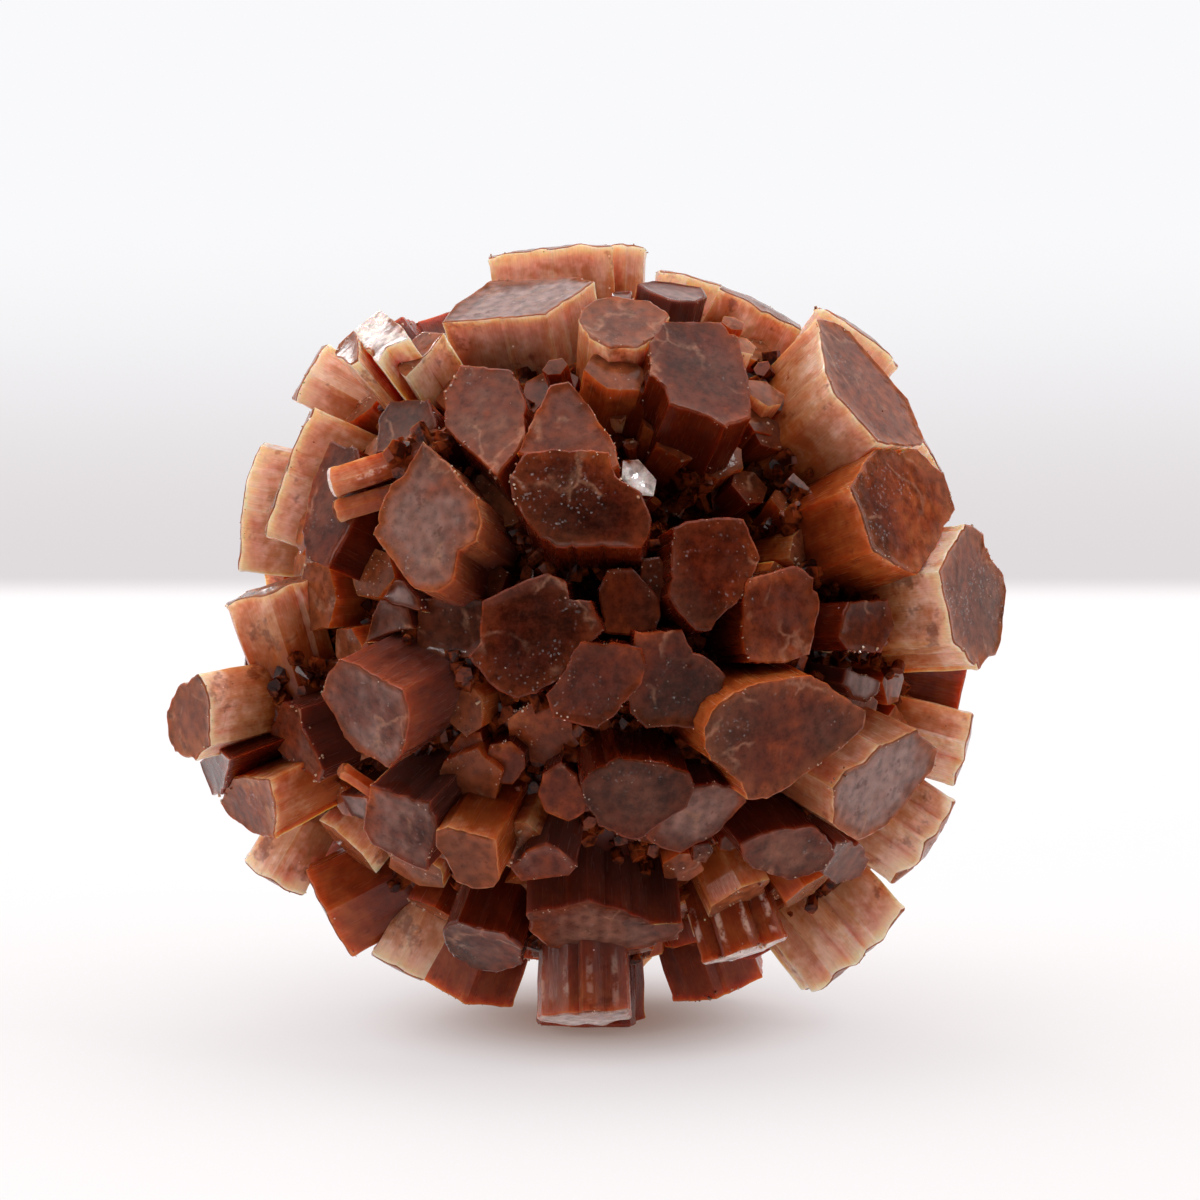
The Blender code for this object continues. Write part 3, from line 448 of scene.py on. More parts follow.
print("the crystal it rests on is", round(rest_crystal()[3], 1), "mm long")

# %% [markdown]
# ## Filling up the ball
# On the real ball, crystals crowd each other until there is no room for one more. We walk over
# directions spaced evenly on a spiral, throw the die for a width, a reach and a lean, and keep a
# crystal only where it has room beside those we know. Chance alone would leave clumps and bald
# spots. Between the large ones stand short crystals, only not in the hollow.

# %% Crystals by rule
def chance(dice):
    """A random vector in the cube from -1 to 1."""
    return Vector((dice.uniform(-1, 1), dice.uniform(-1, 1), dice.uniform(-1, 1)))


def spread_evenly(count):
    """Directions spaced evenly over the ball, on a spiral."""
    golden = math.pi * (3 - math.sqrt(5))
    for k in range(count):
        height = 1 - 2 * (k + 0.5) / count
        ring = math.sqrt(1 - height * height)
        yield Vector((ring * math.cos(golden * k), ring * math.sin(golden * k), height))


def angular_size(crystal):
    """How large a cap looks from the ball's middle, as an angle."""
    ring, middle = crystal[0], crystal[1]
    return sum((p - middle).length for p in ring) / len(ring) / middle.length


def hidden_crystals(known, dice):
    """Crystals wherever the known ones leave room, on the sides away from the eye."""
    grown = []
    for axis in spread_evenly(DIRECTIONS):
        width = dice.uniform(*WIDTHS)
        reach = dice.uniform(*REACHES)
        shape = dice.uniform(0.8, 1.2)
        side = chance(dice)
        axis = (axis + chance(dice) * LEAN).normalized()
        if axis.z > SEEN_LIMIT:
            continue
        if axis.z > LIMB_LIMIT:
            reach = min(reach, LIMB_REACH)
        ring = hexagon(axis * reach, axis, side, width / 2 * shape, width / 2 / shape, dice, 0.09)
        lowest = min(in_world(p).z for p in ring)
        if lowest < LOWEST:
            slide = (LOWEST - lowest) / max(MIDDLE_HEIGHT - in_world(axis).z, 0.2)
            reach -= slide
            ring = [p - axis * slide for p in ring]
        crystal = (ring, axis * reach, axis, reach - ROOT_DEPTH)
        own = angular_size(crystal)
        if all(axis.angle(other[1]) > ROOM * (own + angular_size(other)) for other in known):
            grown.append(crystal)
    return grown


def crystallite(across, up, reach, width, dice):
    """A small crystal at the front, placed as the eye sees it."""
    middle = point_at_reach(across, up, reach)
    axis = (middle.normalized() + chance(dice) * CLUMP_LEAN).normalized()
    side = Vector((1, dice.uniform(-1, 1), 0))
    ring = hexagon(middle, axis, side, width / 2, width / 2, dice, 0.12)
    return ring, middle, axis, reach - CORE_RADIUS + 6


def small_crystals(known, dice):
    """Short crystals that stand between the large ones. The hollow at the front stays open."""
    grown = []
    hollow = Vector(HOLLOW).normalized()
    for direction in spread_evenly(SMALL_DIRECTIONS):
        width, reach = dice.uniform(*SMALL_WIDTHS), dice.uniform(*SMALL_REACHES)
        lean, side = chance(dice) * SMALL_LEAN, chance(dice)
        middle = direction * reach
        axis = (direction + lean).normalized()
        ring = hexagon(middle, axis, side, width / 2, width / 2, dice, 0.1)
        free = all(middle.angle(other[1]) > 0.75 * angular_size(other) + 0.02 for other in known)
        if free and middle.angle(hollow) > HOLLOW_ANGLE:
            grown.append((ring, middle, axis, reach - ROOT_DEPTH - 2))
    return grown


def all_crystals():
    """Every crystal as (name, ring, middle, axis, length)."""
    dice = random.Random(SEED)
    crystals = [front_crystal(*row) for row in FRONT_CAPS]
    crystals += [side_crystal(*row[1:], dice) for row in SIDE_PRISMS]
    crystals += [foot_crystal(*row[1:], dice) for row in FEET]
    crystals.append(rest_crystal())
    crystals += hidden_crystals(crystals, dice)
    names = [row[0] for row in FRONT_CAPS + SIDE_PRISMS + FEET] + ["rest"]
    names += ["hidden"] * (len(crystals) - len(names))
    small = [crystallite(*row, dice) for row in CRYSTALLITES]
    small += small_crystals(crystals, dice)
    names += ["small"] * len(small)
    return [(name, *crystal) for name, crystal in zip(names, crystals + small)]


crystals = all_crystals()
print(len(crystals), "crystals, of which small:", sum(row[0] == "small" for row in crystals))

# %% [markdown]
# ## Painted sheen and cream
# No two crystals look alike. Some caps are clear brown, many carry a greyish mauve, a painted
# sheen that stands for the reflection of the bright room, and a few carry a painted white glare.
# On a prism's sides the same number paints a grey sheen and, from 1.6 on, glints. A prism is
# cream at its tip for a short or a long way before it turns orange. One finish for all would look
# dull, and a material for each would be hard to keep. So we give each crystal two numbers for the
# finish to read: its painted sheen and gloss, from 0 for clear over 1.3 for a painted mauve sheen
# and 2.3 for painted white glare to 2.6 for a mirror, and its cream in millimetres. The die fills
# in a None.

# %% The look of each crystal
LOOKS = {"top plate": (1.35, 2.7), "top big": (0.45, 2.2), "top second": (0.35, None),
         "top grazing": (1.1, None), "top left orange": (0.1, 2.5), "left top white": (2.3, 4.0),
         "left top small": (0.9, 3.5), "upper left": (0.85, 0.8), "upper middle": (0.45, 0.8),
         "small left": (0.6, None), "right tall": (0.5, 2.4), "right upper": (0.05, 1.7),
         "right middle": (0.55, 3.0), "right small": (0.15, None), "right dark": (0.35, None),
         "centre top": (0.15, None), "centre right": (0.25, None), "centre left": (0.08, None),
         "centre low": (0.2, None), "centre right low": (0.15, None),
         "centre small": (0.15, None), "centre sliver": (0.2, None), "left big": (1.1, 1.7),
         "left dark": (0.5, None), "left middle": (1.15, 1.2), "left low": (1.1, None),
         "low left small": (0.6, 1.8), "right low big": (0.25, 1.6), "right low pale": (1.2, 2.2),
         "low centre": (0.45, None), "low centre grey": (1.1, None), "low right": (0.85, None),
         "low right edge": (0.9, None), "low grey": (1.1, None), "bottom wide": (1.0, 0.6),
         "left blade": (0.95, None), "left grey upper": (1.3, None),
         "left grey lower": (1.1, None), "left grey small": (1.2, None),
         "left behind": (0.35, None), "right gap grey": (1.3, None), "bright facet": (2.6, None),
         "left far": (0.4, 3.0), "left low far": (None, 2.0), "bottom left brown": (0.5, None),
         "top small grey": (1.2, None), "top back box": (0.2, 3.6), "top back pale": (None, 8.0),
         "top back tan": (None, 5.0), "top right slab": (None, 2.2),
         "top right behind": (None, 5.0), "right behind": (0.4, 4.0),
         "right edge upper": (0.2, 3.0), "right edge lower": (0.2, 4.5),
         "left long plate": (None, 3.0), "left behind plate": (None, 4.0),
         "left top pale": (0.3, 5.0), "left upright": (None, 2.3), "left bottom pale": (0.3, 5.0),
         "bottom left long": (None, 1.5), "bottom left cream": (None, 4.5),
         "bottom right prism": (2.2, 1.5), "bottom right shell": (0.3, 7.0),
         "orange stick upper": (2.3, 2.0), "orange stick lower": (0.0, 1.8),
         "orange stick low": (0.0, 1.7), "bottom leg": (1.9, 1.4), "front foot": (None, 0.8),
         "left foot": (0.3, 1.6), "right foot": (0.3, 1.3)}
KIND = {"hidden": "hidden", "rest": "hidden", "small": "small"}
PAINTED_SHEENS_AND_GLOSS = (0.0, 0.85)
CREAMS = {"front": (0.2, 0.7), "hidden": (0.3, 2.4), "small": (0.3, 2.4)}


def look_of(name, dice):
    """Tone, painted sheen and gloss, and cream in centimetres. The die is thrown for listed
    crystals as well.
    """
    thrown = dice.uniform(*PAINTED_SHEENS_AND_GLOSS), dice.uniform(*CREAMS[KIND.get(name, "front")])
    painted_sheen_and_gloss, cream = (by_die if listed is None else listed
                    for listed, by_die in zip(LOOKS.get(name, (None, None)), thrown))
    return dice.random(), painted_sheen_and_gloss, cream / 10


print(len(LOOKS), "crystals have a look of their own")

# %% [markdown]
# ## An outline that grew
# Six straight edges would look machined. On the real crystal the outline wavers, and it has
# small notches where two twins meet. We walk round the ring in short steps and push each point
# in or out by a smooth noise. The same push goes all the way down the prism, so it also makes the
# long flutes and grooves of the sides. That is how striations really arise: they are the
# crystal's outline, drawn out along its axis.

# %% Walk round a ring
STEP = {"front": 0.36, "hidden": 0.6, "small": 0.7}
WAVER = 0.12
FLUTE = 0.07
NOTCH = 0.22
FLUTE_WIDTH = 1.9
FLUTED = {"bottom right shell": 0.42, "bottom right prism": 0.34, "bottom leg": 0.16,
          "right edge lower": 0.22, "right edge upper": 0.14, "bottom wide": 0.16,
          "left far": 0.16, "left low far": 0.14, "front foot": 0.14}
FIBROUS = {"left middle": 1.8, "low left small": 2.0, "right low pale": 1.6, "bottom wide": 2.2,
           "bottom right prism": 2.6, "bottom right shell": 2.6, "front foot": 1.6,
           "top back box": 1.4, "right edge lower": 1.5, "bottom left long": 1.6}


def walk(ring, step):
    """Points along the closed ring, about a step apart, with its corners kept."""
    points = []
    for k, corner in enumerate(ring):
        onwards = ring[(k + 1) % len(ring)] - corner
        count = max(1, round(onwards.length / step))
        points += [corner + onwards * (i / count) for i in range(count)]
    return points


def distances_round(points):
    """How far each point is from the first, along the ring, and the length of the whole ring."""
    around = [0.0]
    for k, point in enumerate(points):
        around.append(around[-1] + (points[(k + 1) % len(points)] - point).length)
    return around


def pushes(name, points, middle, seed, size):
    """How far each point of the outline moves away from the middle, in millimetres."""
    moved = []
    for point, gone in zip(points, distances_round(points)):
        fold = abs(math.sin(math.pi * gone / FLUTE_WIDTH)) - 0.75
        place = (point - middle) + Vector((seed * 7.3, seed * 3.1, seed * 5.7))
        slow = noise.noise(place * 0.55) * WAVER * 1.5
        quick = noise.noise(place * 1.5) * WAVER
        crease = (0.25 - abs(noise.noise(place * 2.1 + Vector((3, 7, 0))))) * FLUTE
        crease *= FIBROUS.get(name, 1.0)
        flute = noise.noise(place * 4.6) * FLUTE * 0.8
        notch = max(0.0, noise.noise(place * 0.95 + Vector((9, 0, 0))) - 0.38) * NOTCH * 4
        moved.append((slow + quick + crease + flute - notch) * min(1.0, size / 3.2)
                     + fold * FLUTED.get(name, 0.0))
    return moved


outline = walk(crystals[0][1], STEP["front"])
print("the top plate's outline has", len(outline), "points")

# %% [markdown]
# ## Rings of a prism
# A prism could be six flat sides and a lid. But a real one has low steps on its cap and ledges
# down its sides, where growth stopped for a while and went on. We stack rings of points: a few on
# the cap, given as (inset from the rim, lift), and more down the side, as (depth, how far it
# stands out). The caps of the side prisms bulge a little, by their crown.

# %% The levels of a prism
CROWN = {name: 0.5 for name, *_ in SIDE_PRISMS}
CROWN.update({"right edge lower": 1.2, "bottom right shell": 0.9, "top right behind": 0.8})
SIDE_STEPS = [(0.0, 0.0), (0.10, 0.05), (0.28, 0.03), (0.55, -0.04), (1.3, -0.02), (2.6, 0.04),
              (4.4, -0.05), (7.0, 0.03)]
CAP_STEPS = [(0.14, 0.07), (0.34, 0.03), (0.8, -0.01), (1.7, 0.0)]
CAP_ROUGHNESS = 0.03
CAP_CORE = 0.12


def levels(name, size, length):
    """The steps of this cap and of its sides. Small and hidden crystals get fewer."""
    kind = KIND.get(name, "front")
    if kind == "small":
        caps, sides = [(0.2, 0.03)], SIDE_STEPS[::2]
    elif kind == "hidden":
        caps, sides = CAP_STEPS[::2], SIDE_STEPS[:2] + SIDE_STEPS[3:7]
    else:
        caps, sides = [row for row in CAP_STEPS if row[0] < size * 0.6], SIDE_STEPS
    if name == "rest":
        caps = [(0.3, 0.0)]
    return caps, [row for row in sides if row[0] < length - 1.5] + [(length, 0.0)]


def sags(name, points, middle, seed):
    """How far each point of a crowned cap lies below the cap's middle."""
    crown = CROWN.get(name, 0.0)
    far = max((p - middle).length for p in points)
    uneven = 0.0 if name == "rest" else crown * 0.5
    return [-crown * ((p - middle).length / far) ** 2
            + uneven * noise.noise(p * 0.7 + Vector((seed, 0, 0))) for p in points]


def cap_ring(outline, middle, axis, inwards, lift, rough, shift):
    """Where the points of a ring on the cap lie."""
    return [middle + away * (reach * inwards)
            + axis * (lift + rough * noise.noise(point * 0.9 + shift) + sag * inwards ** 2)
            for point, away, reach, sag in outline]


def side_ring(outline, middle, axis, depth, narrower, ledge, shift):
    """Where the points of a ring down the side lie."""
    return [middle + axis * (sag - depth)
            + away * (reach * narrower + ledge * (0.6 + noise.noise(point * 0.8 + shift)))
            for point, away, reach, sag in outline]


print(len(CAP_STEPS), "steps on a cap,", len(SIDE_STEPS), "down a side")

# %% [markdown]
# ## Faces that know where they are
# Rings become faces, and each face's corners carry two marks for the finishes to read: its place,
# which is how far round it is, how deep below the cap and how far in from the rim, and the look
# of its crystal. We could unwrap the prisms and paint textures, but marks also survive the
# Boolean that comes later, and they need no picture.

# %% One closed prism
def prism(shape, crystal, number, dice):
    """Adds one closed prism to the shape."""
    name, ring, middle, axis, length = crystal
    size = sum((p - middle).length for p in ring) / len(ring)
    points = walk(ring, STEP[KIND.get(name, "front")])
    pushed = pushes(name, points, middle, number, size)
    outline = [(p, (p - middle).normalized(), (p - middle).length + push, sag)
               for p, push, sag in zip(points, pushed, sags(name, points, middle, number))]
    caps, sides = levels(name, size, length)
    rough = 0.0 if name == "rest" else CAP_ROUGHNESS
    rings = []
    for inset, lift in reversed(caps):
        inwards = max(CAP_CORE, 1 - inset / size)
        spots = cap_ring(outline, middle, axis, inwards, lift, rough, Vector((inset, 0, number)))
        rings.append((spots, 0.0, inset))
    for depth, ledge in sides:
        narrower = 1 - (1 - ROOT_TAPER) * depth / length
        spots = side_ring(outline, middle, axis, depth, narrower, ledge,
                          Vector((depth, number, 0)))
        rings.append((spots, depth, 0.0))
    close_rings(shape, rings, len(caps), distances_round(points), look_of(name, dice))


def close_rings(shape, rings, cap_rings, around, look):
    """Turns stacked rings of spots into one closed surface with marks on its corners."""
    layers = shape.loops.layers.float_vector
    place, kept_look = layers["place"], layers["look"]
    rings = [([shape.verts.new(in_world(spot) * MM) for spot in spots], depth, inset)
             for spots, depth, inset in rings]

    def add(corners, material, marks):
        face = shape.faces.new(corners)
        face.material_index = material
        for loop, mark in zip(face.loops, marks):
            loop[place] = mark
            loop[kept_look] = look

    count = len(rings[0][0])
    for level, ((upper, *above), (lower, *below)) in enumerate(zip(rings, rings[1:])):
        for k in range(count):
            n = (k + 1) % count
            here, there = around[k], around[k + 1]
            add((upper[k], lower[k], lower[n], upper[n]), 0 if level < cap_rings else 1,
                [(here, *above), (here, *below), (there, *below), (there, *above)])
    top, root = rings[0], rings[-1]
    add(top[0], 0, [(gone, 0.0, top[2]) for gone in around])
    add(list(reversed(root[0])), 1, [(0.0, root[1], 0.0)] * count)


print("a prism's corners carry the marks place and look")

# %% [markdown]
# ## Grow them all
# Each prism is an object of its own for now, because a Boolean joins closed shapes that it can
# tell apart. They wait in a collection, which is also how the Boolean can take them all at once.

# %% Grow the prisms
def shape_with_marks():
    """An empty shape whose corners can carry both marks."""
    shape = bmesh.new()
    shape.loops.layers.float_vector.new("place")
    shape.loops.layers.float_vector.new("look")
    return shape


def mesh_object(name, shape, collection):
    """Turns the shape into an object of this collection."""
    mesh = bpy.data.meshes.new(name)
    shape.to_mesh(mesh)
    shape.free()
    made = bpy.data.objects.new(name, mesh)
    collection.objects.link(made)
    return made


nursery = bpy.data.collections.new("single crystals")
bpy.context.scene.collection.children.link(nursery)
dice = random.Random(SEED + 2)
for number, crystal in enumerate(crystals):
    shape = shape_with_marks()
    prism(shape, crystal, number, dice)
    bmesh.ops.recalc_face_normals(shape, faces=shape.faces)
    mesh_object(f"crystal_{number}", shape, nursery)

# %% [markdown]
# ## The root mass
# The crystals stand in a lumpy mass. We make it from a ball of triangles, push its points in and
# out with noise at three sizes, and press in the dark hollow at the upper right. A sculpted mesh
# would do as well, but a rule is shorter and can be changed in one line.

# %% The root mass
def root_mass():
    """A rough ball in which every crystal has its root."""
    shape = shape_with_marks()
    layers = shape.loops.layers.float_vector
    bmesh.ops.create_icosphere(shape, subdivisions=5, radius=1.0)
    hollow = Vector(HOLLOW).normalized()
    for vertex in shape.verts:
        way = vertex.co.normalized()
        radius = CORE_RADIUS + CORE_ROUGHNESS * noise.noise(way * 6.0)
        radius += 0.5 * noise.noise(way * 17.0) + 0.25 * noise.noise(way * 41.0)
        radius -= HOLLOW_DEPTH * max(0.0, 1 - way.angle(hollow) / HOLLOW_ANGLE)
        vertex.co = in_world(way * radius) * MM
    for face in shape.faces:
        face.material_index = 1
        for loop in face.loops:
            loop[layers["place"]] = (0.0, 9.0, 0.0)
            loop[layers["look"]] = (0.5, 0.0, 0.15)
    return mesh_object("aragonite_ball", shape, bpy.context.scene.collection)


ball = root_mass()
print("root mass:", len(ball.data.polygons), "faces")

# %% [markdown]
# ## One closed ball
# The crystals have grown into each other, so we join them and the root mass with one Boolean. The
# Manifold solver does that in seconds, and it carries our marks over to the joined mesh. We could
# leave the prisms pushed through each other, but light that wanders inside the stone would then
# meet walls that aren't there. Afterwards no point may leave the CAD's box, and cutting the faces
# into triangles can fold a few of them onto each other, so we take those pairs out.

# %% Join the crystals
def drop_folds(shape):
    """Deletes the pairs of triangles that lie back to back on the same three corners."""
    first, folds = {}, []
    for face in shape.faces:
        corners = frozenset(face.verts)
        if corners in first:
            folds += [first[corners], face]
        first[corners] = face
    bmesh.ops.delete(shape, geom=folds, context="FACES")
    return len(folds) // 2


def join_all(ball, nursery):
    """Joins the crystals to the root mass and clears the nursery."""
    for part in ("cap", "side"):
        ball.data.materials.append(bpy.data.materials.new("aragonite " + part))
    for one in nursery.objects:
        for material in ball.data.materials:
            one.data.materials.append(material)
    union = ball.modifiers.new("grown together", "BOOLEAN")
    union.operation = "UNION"
    union.solver = "MANIFOLD"
    union.operand_type = "COLLECTION"
    union.collection = nursery
    graph = bpy.context.evaluated_depsgraph_get()
    joined = bpy.data.meshes.new_from_object(ball.evaluated_get(graph))
    ball.modifiers.clear()
    ball.data = joined
    for one in list(nursery.objects):
        bpy.data.objects.remove(one, do_unlink=True)
    bpy.data.collections.remove(nursery)


def clean(mesh):
    """Keeps the ball inside the CAD's box, in triangles without folds, with crisp edges."""
    shape = bmesh.new()
    shape.from_mesh(mesh)
    low, high = CAD_BOX
    for vertex in shape.verts:
        vertex.co = [min(max(vertex.co[k], low[k]), high[k]) for k in range(3)]
    bmesh.ops.triangulate(shape, faces=shape.faces[:])
    folds = drop_folds(shape)
    shape.to_mesh(mesh)
    shape.free()
    mesh.shade_smooth()
    mesh.set_sharp_from_angle(angle=math.radians(30))
    return folds


join_all(ball, nursery)
folds = clean(ball.data)
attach(ball, "root")
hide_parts("aragonite_cluster")
print("joined:", len(ball.data.polygons), "triangles, folds taken out:", folds)

# %% [markdown]
# ## Grains in the gaps and on the rims
# Between the crystals the stone isn't bare. Thousands of tiny crystals started there and ran out
# of room, so the gaps are rough, dark and full of small glints, and some rims carry a pale crust.
# A bump in the material would flatten out in close views, so each grain is real: a stub of a
# hexagonal prism, half sunk in the joined ball.

# %% One grain
FULL_TURN = 6.28
SINK = 0.6


def stub(shape, spot, axis, width, height, dice, material):
    """A tiny closed prism that stands on the stone, its foot below the surface."""
    side = axis.orthogonal().normalized()
    side.rotate(Quaternion(axis, dice.uniform(0, FULL_TURN)))
    deep = axis.cross(side)
    rings = []
    for lift, size in ((-SINK * height, 0.9), (height, 1.0)):
        ring = []
        for k in range(6):
            angle = math.radians(60 * k + dice.uniform(-14, 14))
            reach = width / 2 * size * dice.uniform(0.8, 1.15)
            ring.append(shape.verts.new(spot + axis * lift + side * (math.cos(angle) * reach)
                                        + deep * (math.sin(angle) * reach)))
        rings.append(ring)
    low, high = rings
    faces = [shape.faces.new((low[k], low[(k + 1) % 6], high[(k + 1) % 6], high[k]))
             for k in range(6)]
    faces += [shape.faces.new(high), shape.faces.new(list(reversed(low)))]
    for face in faces:
        face.material_index = material


def has_room(spot, width):
    """Whether a grain here stays above the table and inside the CAD's box."""
    low, high = CAD_BOX
    room = 1.6 * width
    beside = all(low[k] + room < spot[k] < high[k] - room for k in (0, 1))
    return beside and 1.2 * width < spot[2] < high[2] - room


print("a grain is sunk by", SINK, "of its height")

# %% [markdown]
# ## Where the grains grow
# Each row below says how many grains to throw, which faces may carry them, how wide they are and
# which of two finishes they get. The die picks a face by its area and a spot on it, so that large
# triangles don't end up bare. Faces qualify by their marks: deep ones in the gaps, those close to
# a rim in patches made by noise, and a few anywhere.

# %% Scatter the grains
def in_gap(face, mark):
    return face.material_index == 1 and mark.y > 5.5


def on_rim(face, mark):
    """A narrow strip on both sides of a rim, and only in patches."""
    near = mark.z < 0.3 if face.material_index == 0 else mark.y < 0.2
    return near and noise.noise(face.center * 230) > 0.14


def crusty_rim(face, mark):
    """Fewer and larger patches than on_rim, for a coarse crust."""
    near = mark.z < 0.35 if face.material_index == 0 else mark.y < 0.5
    return near and noise.noise(face.center * 150 + Vector((5, 0, 0))) > 0.34


def anywhere(face, mark):
    return True


DARK, PALE = 0, 1
GRAINS = [(6000, in_gap, (0.3, 1.3), DARK), (2600, on_rim, (0.04, 0.11), PALE),
          (800, crusty_rim, (0.08, 0.22), PALE), (250, anywhere, (0.04, 0.12), PALE)]
JUST_UNDER = 0.9999
GRAIN_LEAN = 0.55


def place_marks(mesh):
    """Each face with the mean of its corners' place marks."""
    places = mesh.attributes["place"].data
    marked = []
    for face in mesh.polygons:
        mark = Vector((0, 0, 0))
        for loop in face.loop_indices:
            mark += Vector(places[loop].vector)
        marked.append((face, mark / face.loop_total))
    return marked


def scatter(mesh, rows, seed):
    """One object with every grain that the rows ask for and that has room."""
    dice = random.Random(seed)
    shape = bmesh.new()
    marked = place_marks(mesh)
    for count, fits, widths, material in rows:
        chosen = [face for face, mark in marked if fits(face, mark)]
        totals, total = [], 0.0
        for face in chosen:
            total += face.area
            totals.append(total)
        for _ in range(count):
            face = chosen[bisect(totals, dice.uniform(0, total * JUST_UNDER))]
            a, b, c = (mesh.vertices[v].co for v in face.vertices)
            u, v = sorted((dice.random(), dice.random()))
            spot = a * u + b * (v - u) + c * (1 - v)
            axis = (face.normal + chance(dice) * GRAIN_LEAN).normalized()
            width = dice.uniform(*widths) * MM
            if has_room(spot, width):
                stub(shape, spot, axis, width, width * dice.uniform(0.3, 1.2), dice, material)
    return mesh_object("crystal_grains", shape, bpy.context.scene.collection)


grains = scatter(ball.data, GRAINS, SEED + 3)
for finish in ("aragonite grain", "bright grain"):
    grains.data.materials.append(bpy.data.materials.new(finish))
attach(grains, "root")
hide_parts("aragonite_cluster")
print("grains:", len(grains.data.polygons), "faces")

# %% [markdown]
# ## A small kit for nodes
# Each finish is a tree of shader nodes. It could be built by hand in the shader editor, but then
# this script couldn't make it. A few helpers keep the trees short: they add a node and set its
# values, read a mark off the mesh, do arithmetic, mix in a colour, and lay out a ramp.

# %% Node helpers
class Tree:
    """A material's node tree with short ways to add to it."""

    def __init__(self, material):
        material.use_nodes = True
        self.nodes = material.node_tree.nodes
        self.links = material.node_tree.links
        self.shader = self.nodes["Principled BSDF"]
        self.spot = self.node("ShaderNodeTexCoord").outputs["Object"]

    def put(self, socket, value):
        """Links another node's output to the socket, or sets a plain value."""
        if isinstance(value, bpy.types.NodeSocket):
            self.links.new(value, socket)
        else:
            socket.default_value = value

    def finish(self, values):
        """The same for sockets of the surface itself."""
        for key, value in values.items():
            self.put(self.shader.inputs[key], value)

    def node(self, kind, values=None, **settings):
        made = self.nodes.new(kind)
        for key, value in settings.items():
            setattr(made, key, value)
        for key, value in (values or {}).items():
            self.put(made.inputs[key], value)
        return made

    def math(self, operation, a, b=0.0, c=0.0, clamp=False):
        return self.node("ShaderNodeMath", {0: a, 1: b, 2: c}, operation=operation,
                         use_clamp=clamp).outputs[0]

    def times(self, value, *factors):
        for factor in factors:
            value = self.math("MULTIPLY", value, factor)
        return value

    def flip(self, value):
        """1 where the value is 0, and 0 where it is 1."""
        return self.math("SUBTRACT", 1.0, value)

    def scaled(self, value, factor, plus, clamp=False):
        return self.math("MULTIPLY_ADD", value, factor, plus, clamp)

    def sway(self, wave, amount, onto, clamp=False):
        """Adds a noise, taken about its middle of 0.5, to a value."""
        return self.scaled(self.math("SUBTRACT", wave, 0.5), amount, onto, clamp)

    def between(self, value, low, high):
        """0 below low, 1 above high, and smooth between them."""
        return self.node("ShaderNodeMapRange", {"Value": value, "From Min": low,
                         "From Max": high}, interpolation_type="SMOOTHSTEP").outputs[0]

    def stretch(self, value, low, high, to_low, to_high):
        """The straight line that takes low to to_low and high to to_high."""
        return self.node("ShaderNodeMapRange", {"Value": value, "From Min": low, "From Max": high,
                         "To Min": to_low, "To Max": to_high}).outputs[0]

    def vector(self, operation, a, b=(0, 0, 0), c=(0, 0, 0)):
        return self.node("ShaderNodeVectorMath", {0: a, 1: b, 2: c},
                         operation=operation).outputs[0]

    def part(self, vector, number):
        return self.node("ShaderNodeSeparateXYZ", {0: vector}).outputs[number]

    def mix(self, factor, a, b, blend="MIX"):
        made = self.node("ShaderNodeMix", data_type="RGBA", blend_type=blend)
        for number, value in ((0, factor), (6, a), (7, b)):
            self.put(made.inputs[number], value)
        return made.outputs[2]

    def tint(self, base, share, red, green, blue):
        """Mixes a share of this colour into the base."""
        return self.mix(share, base, colour(red, green, blue))

    def ramp(self, value, stops):
        made = self.node("ShaderNodeValToRGB", {0: value})
        elements = made.color_ramp.elements
        while len(elements) < len(stops):
            elements.new(0.5)
        for element, (position, shade) in zip(elements, stops):
            element.position = position
            element.color = colour(*shade)
        return made.outputs[0]

    def noise(self, vector, scale, detail=2.0, roughness=0.5, distortion=0.0):
        return self.node("ShaderNodeTexNoise", {"Vector": vector, "Scale": scale,
                         "Detail": detail, "Roughness": roughness,
                         "Distortion": distortion}).outputs[0]

    def patches(self, scale, detail, roughness, low, high):
        """Soft-edged patches of noise over the object, 1 inside and 0 outside."""
        return self.between(self.noise(self.spot, scale, detail, roughness), low, high)

    def bump(self, height, strength, distance, under=None):
        values = {"Height": height, "Strength": strength, "Distance": distance}
        if under:
            values["Normal"] = under
        return self.node("ShaderNodeBump", values).outputs[0]

    def read(self, name):
        """The three numbers of a mark on the mesh, and the mark as a vector."""
        vector = self.node("ShaderNodeAttribute", attribute_name=name).outputs["Vector"]
        return self.node("ShaderNodeSeparateXYZ", {0: vector}).outputs, vector


def colour(red, green, blue):
    """A colour as a screen shows it, 0 to 255, turned into the linear light a shader wants."""
    def linear(v):
        v /= 255
        return v / 12.92 if v <= 0.04045 else ((v + 0.055) / 1.055) ** 2.4
    return linear(red), linear(green), linear(blue), 1


print("cream is", [round(v, 3) for v in colour(226, 190, 160)[:3]], "in linear light")

# %% [markdown]
# ## Zones of colour: cream, orange, dark red
# Along a prism the colour changes in zones, as iron came and went in the water it grew from: a
# cream tip, then tan, orange and a deep red-brown near the root. The outer skin of a prism is
# paler than its heart as well. So caps and sides share one colour ramp. Our marks say how far
# along the ramp each crystal starts, and a noise makes the steps uneven. Light wanders inside the
# stone before it comes out, and red goes furthest, which subsurface scattering imitates.

# %% The ramp of the zones
ZONES = [(0.0, (234, 197, 174)), (0.12, (203, 141, 101)), (0.26, (176, 89, 40)),
         (0.42, (144, 56, 18)), (0.58, (106, 32, 8)), (0.76, (78, 19, 5)), (1.0, (46, 8, 3))]
DARKEST_SIDE = 0.76
STONE = {"IOR": 1.6, "Subsurface Radius": (1.0, 0.42, 0.2)}


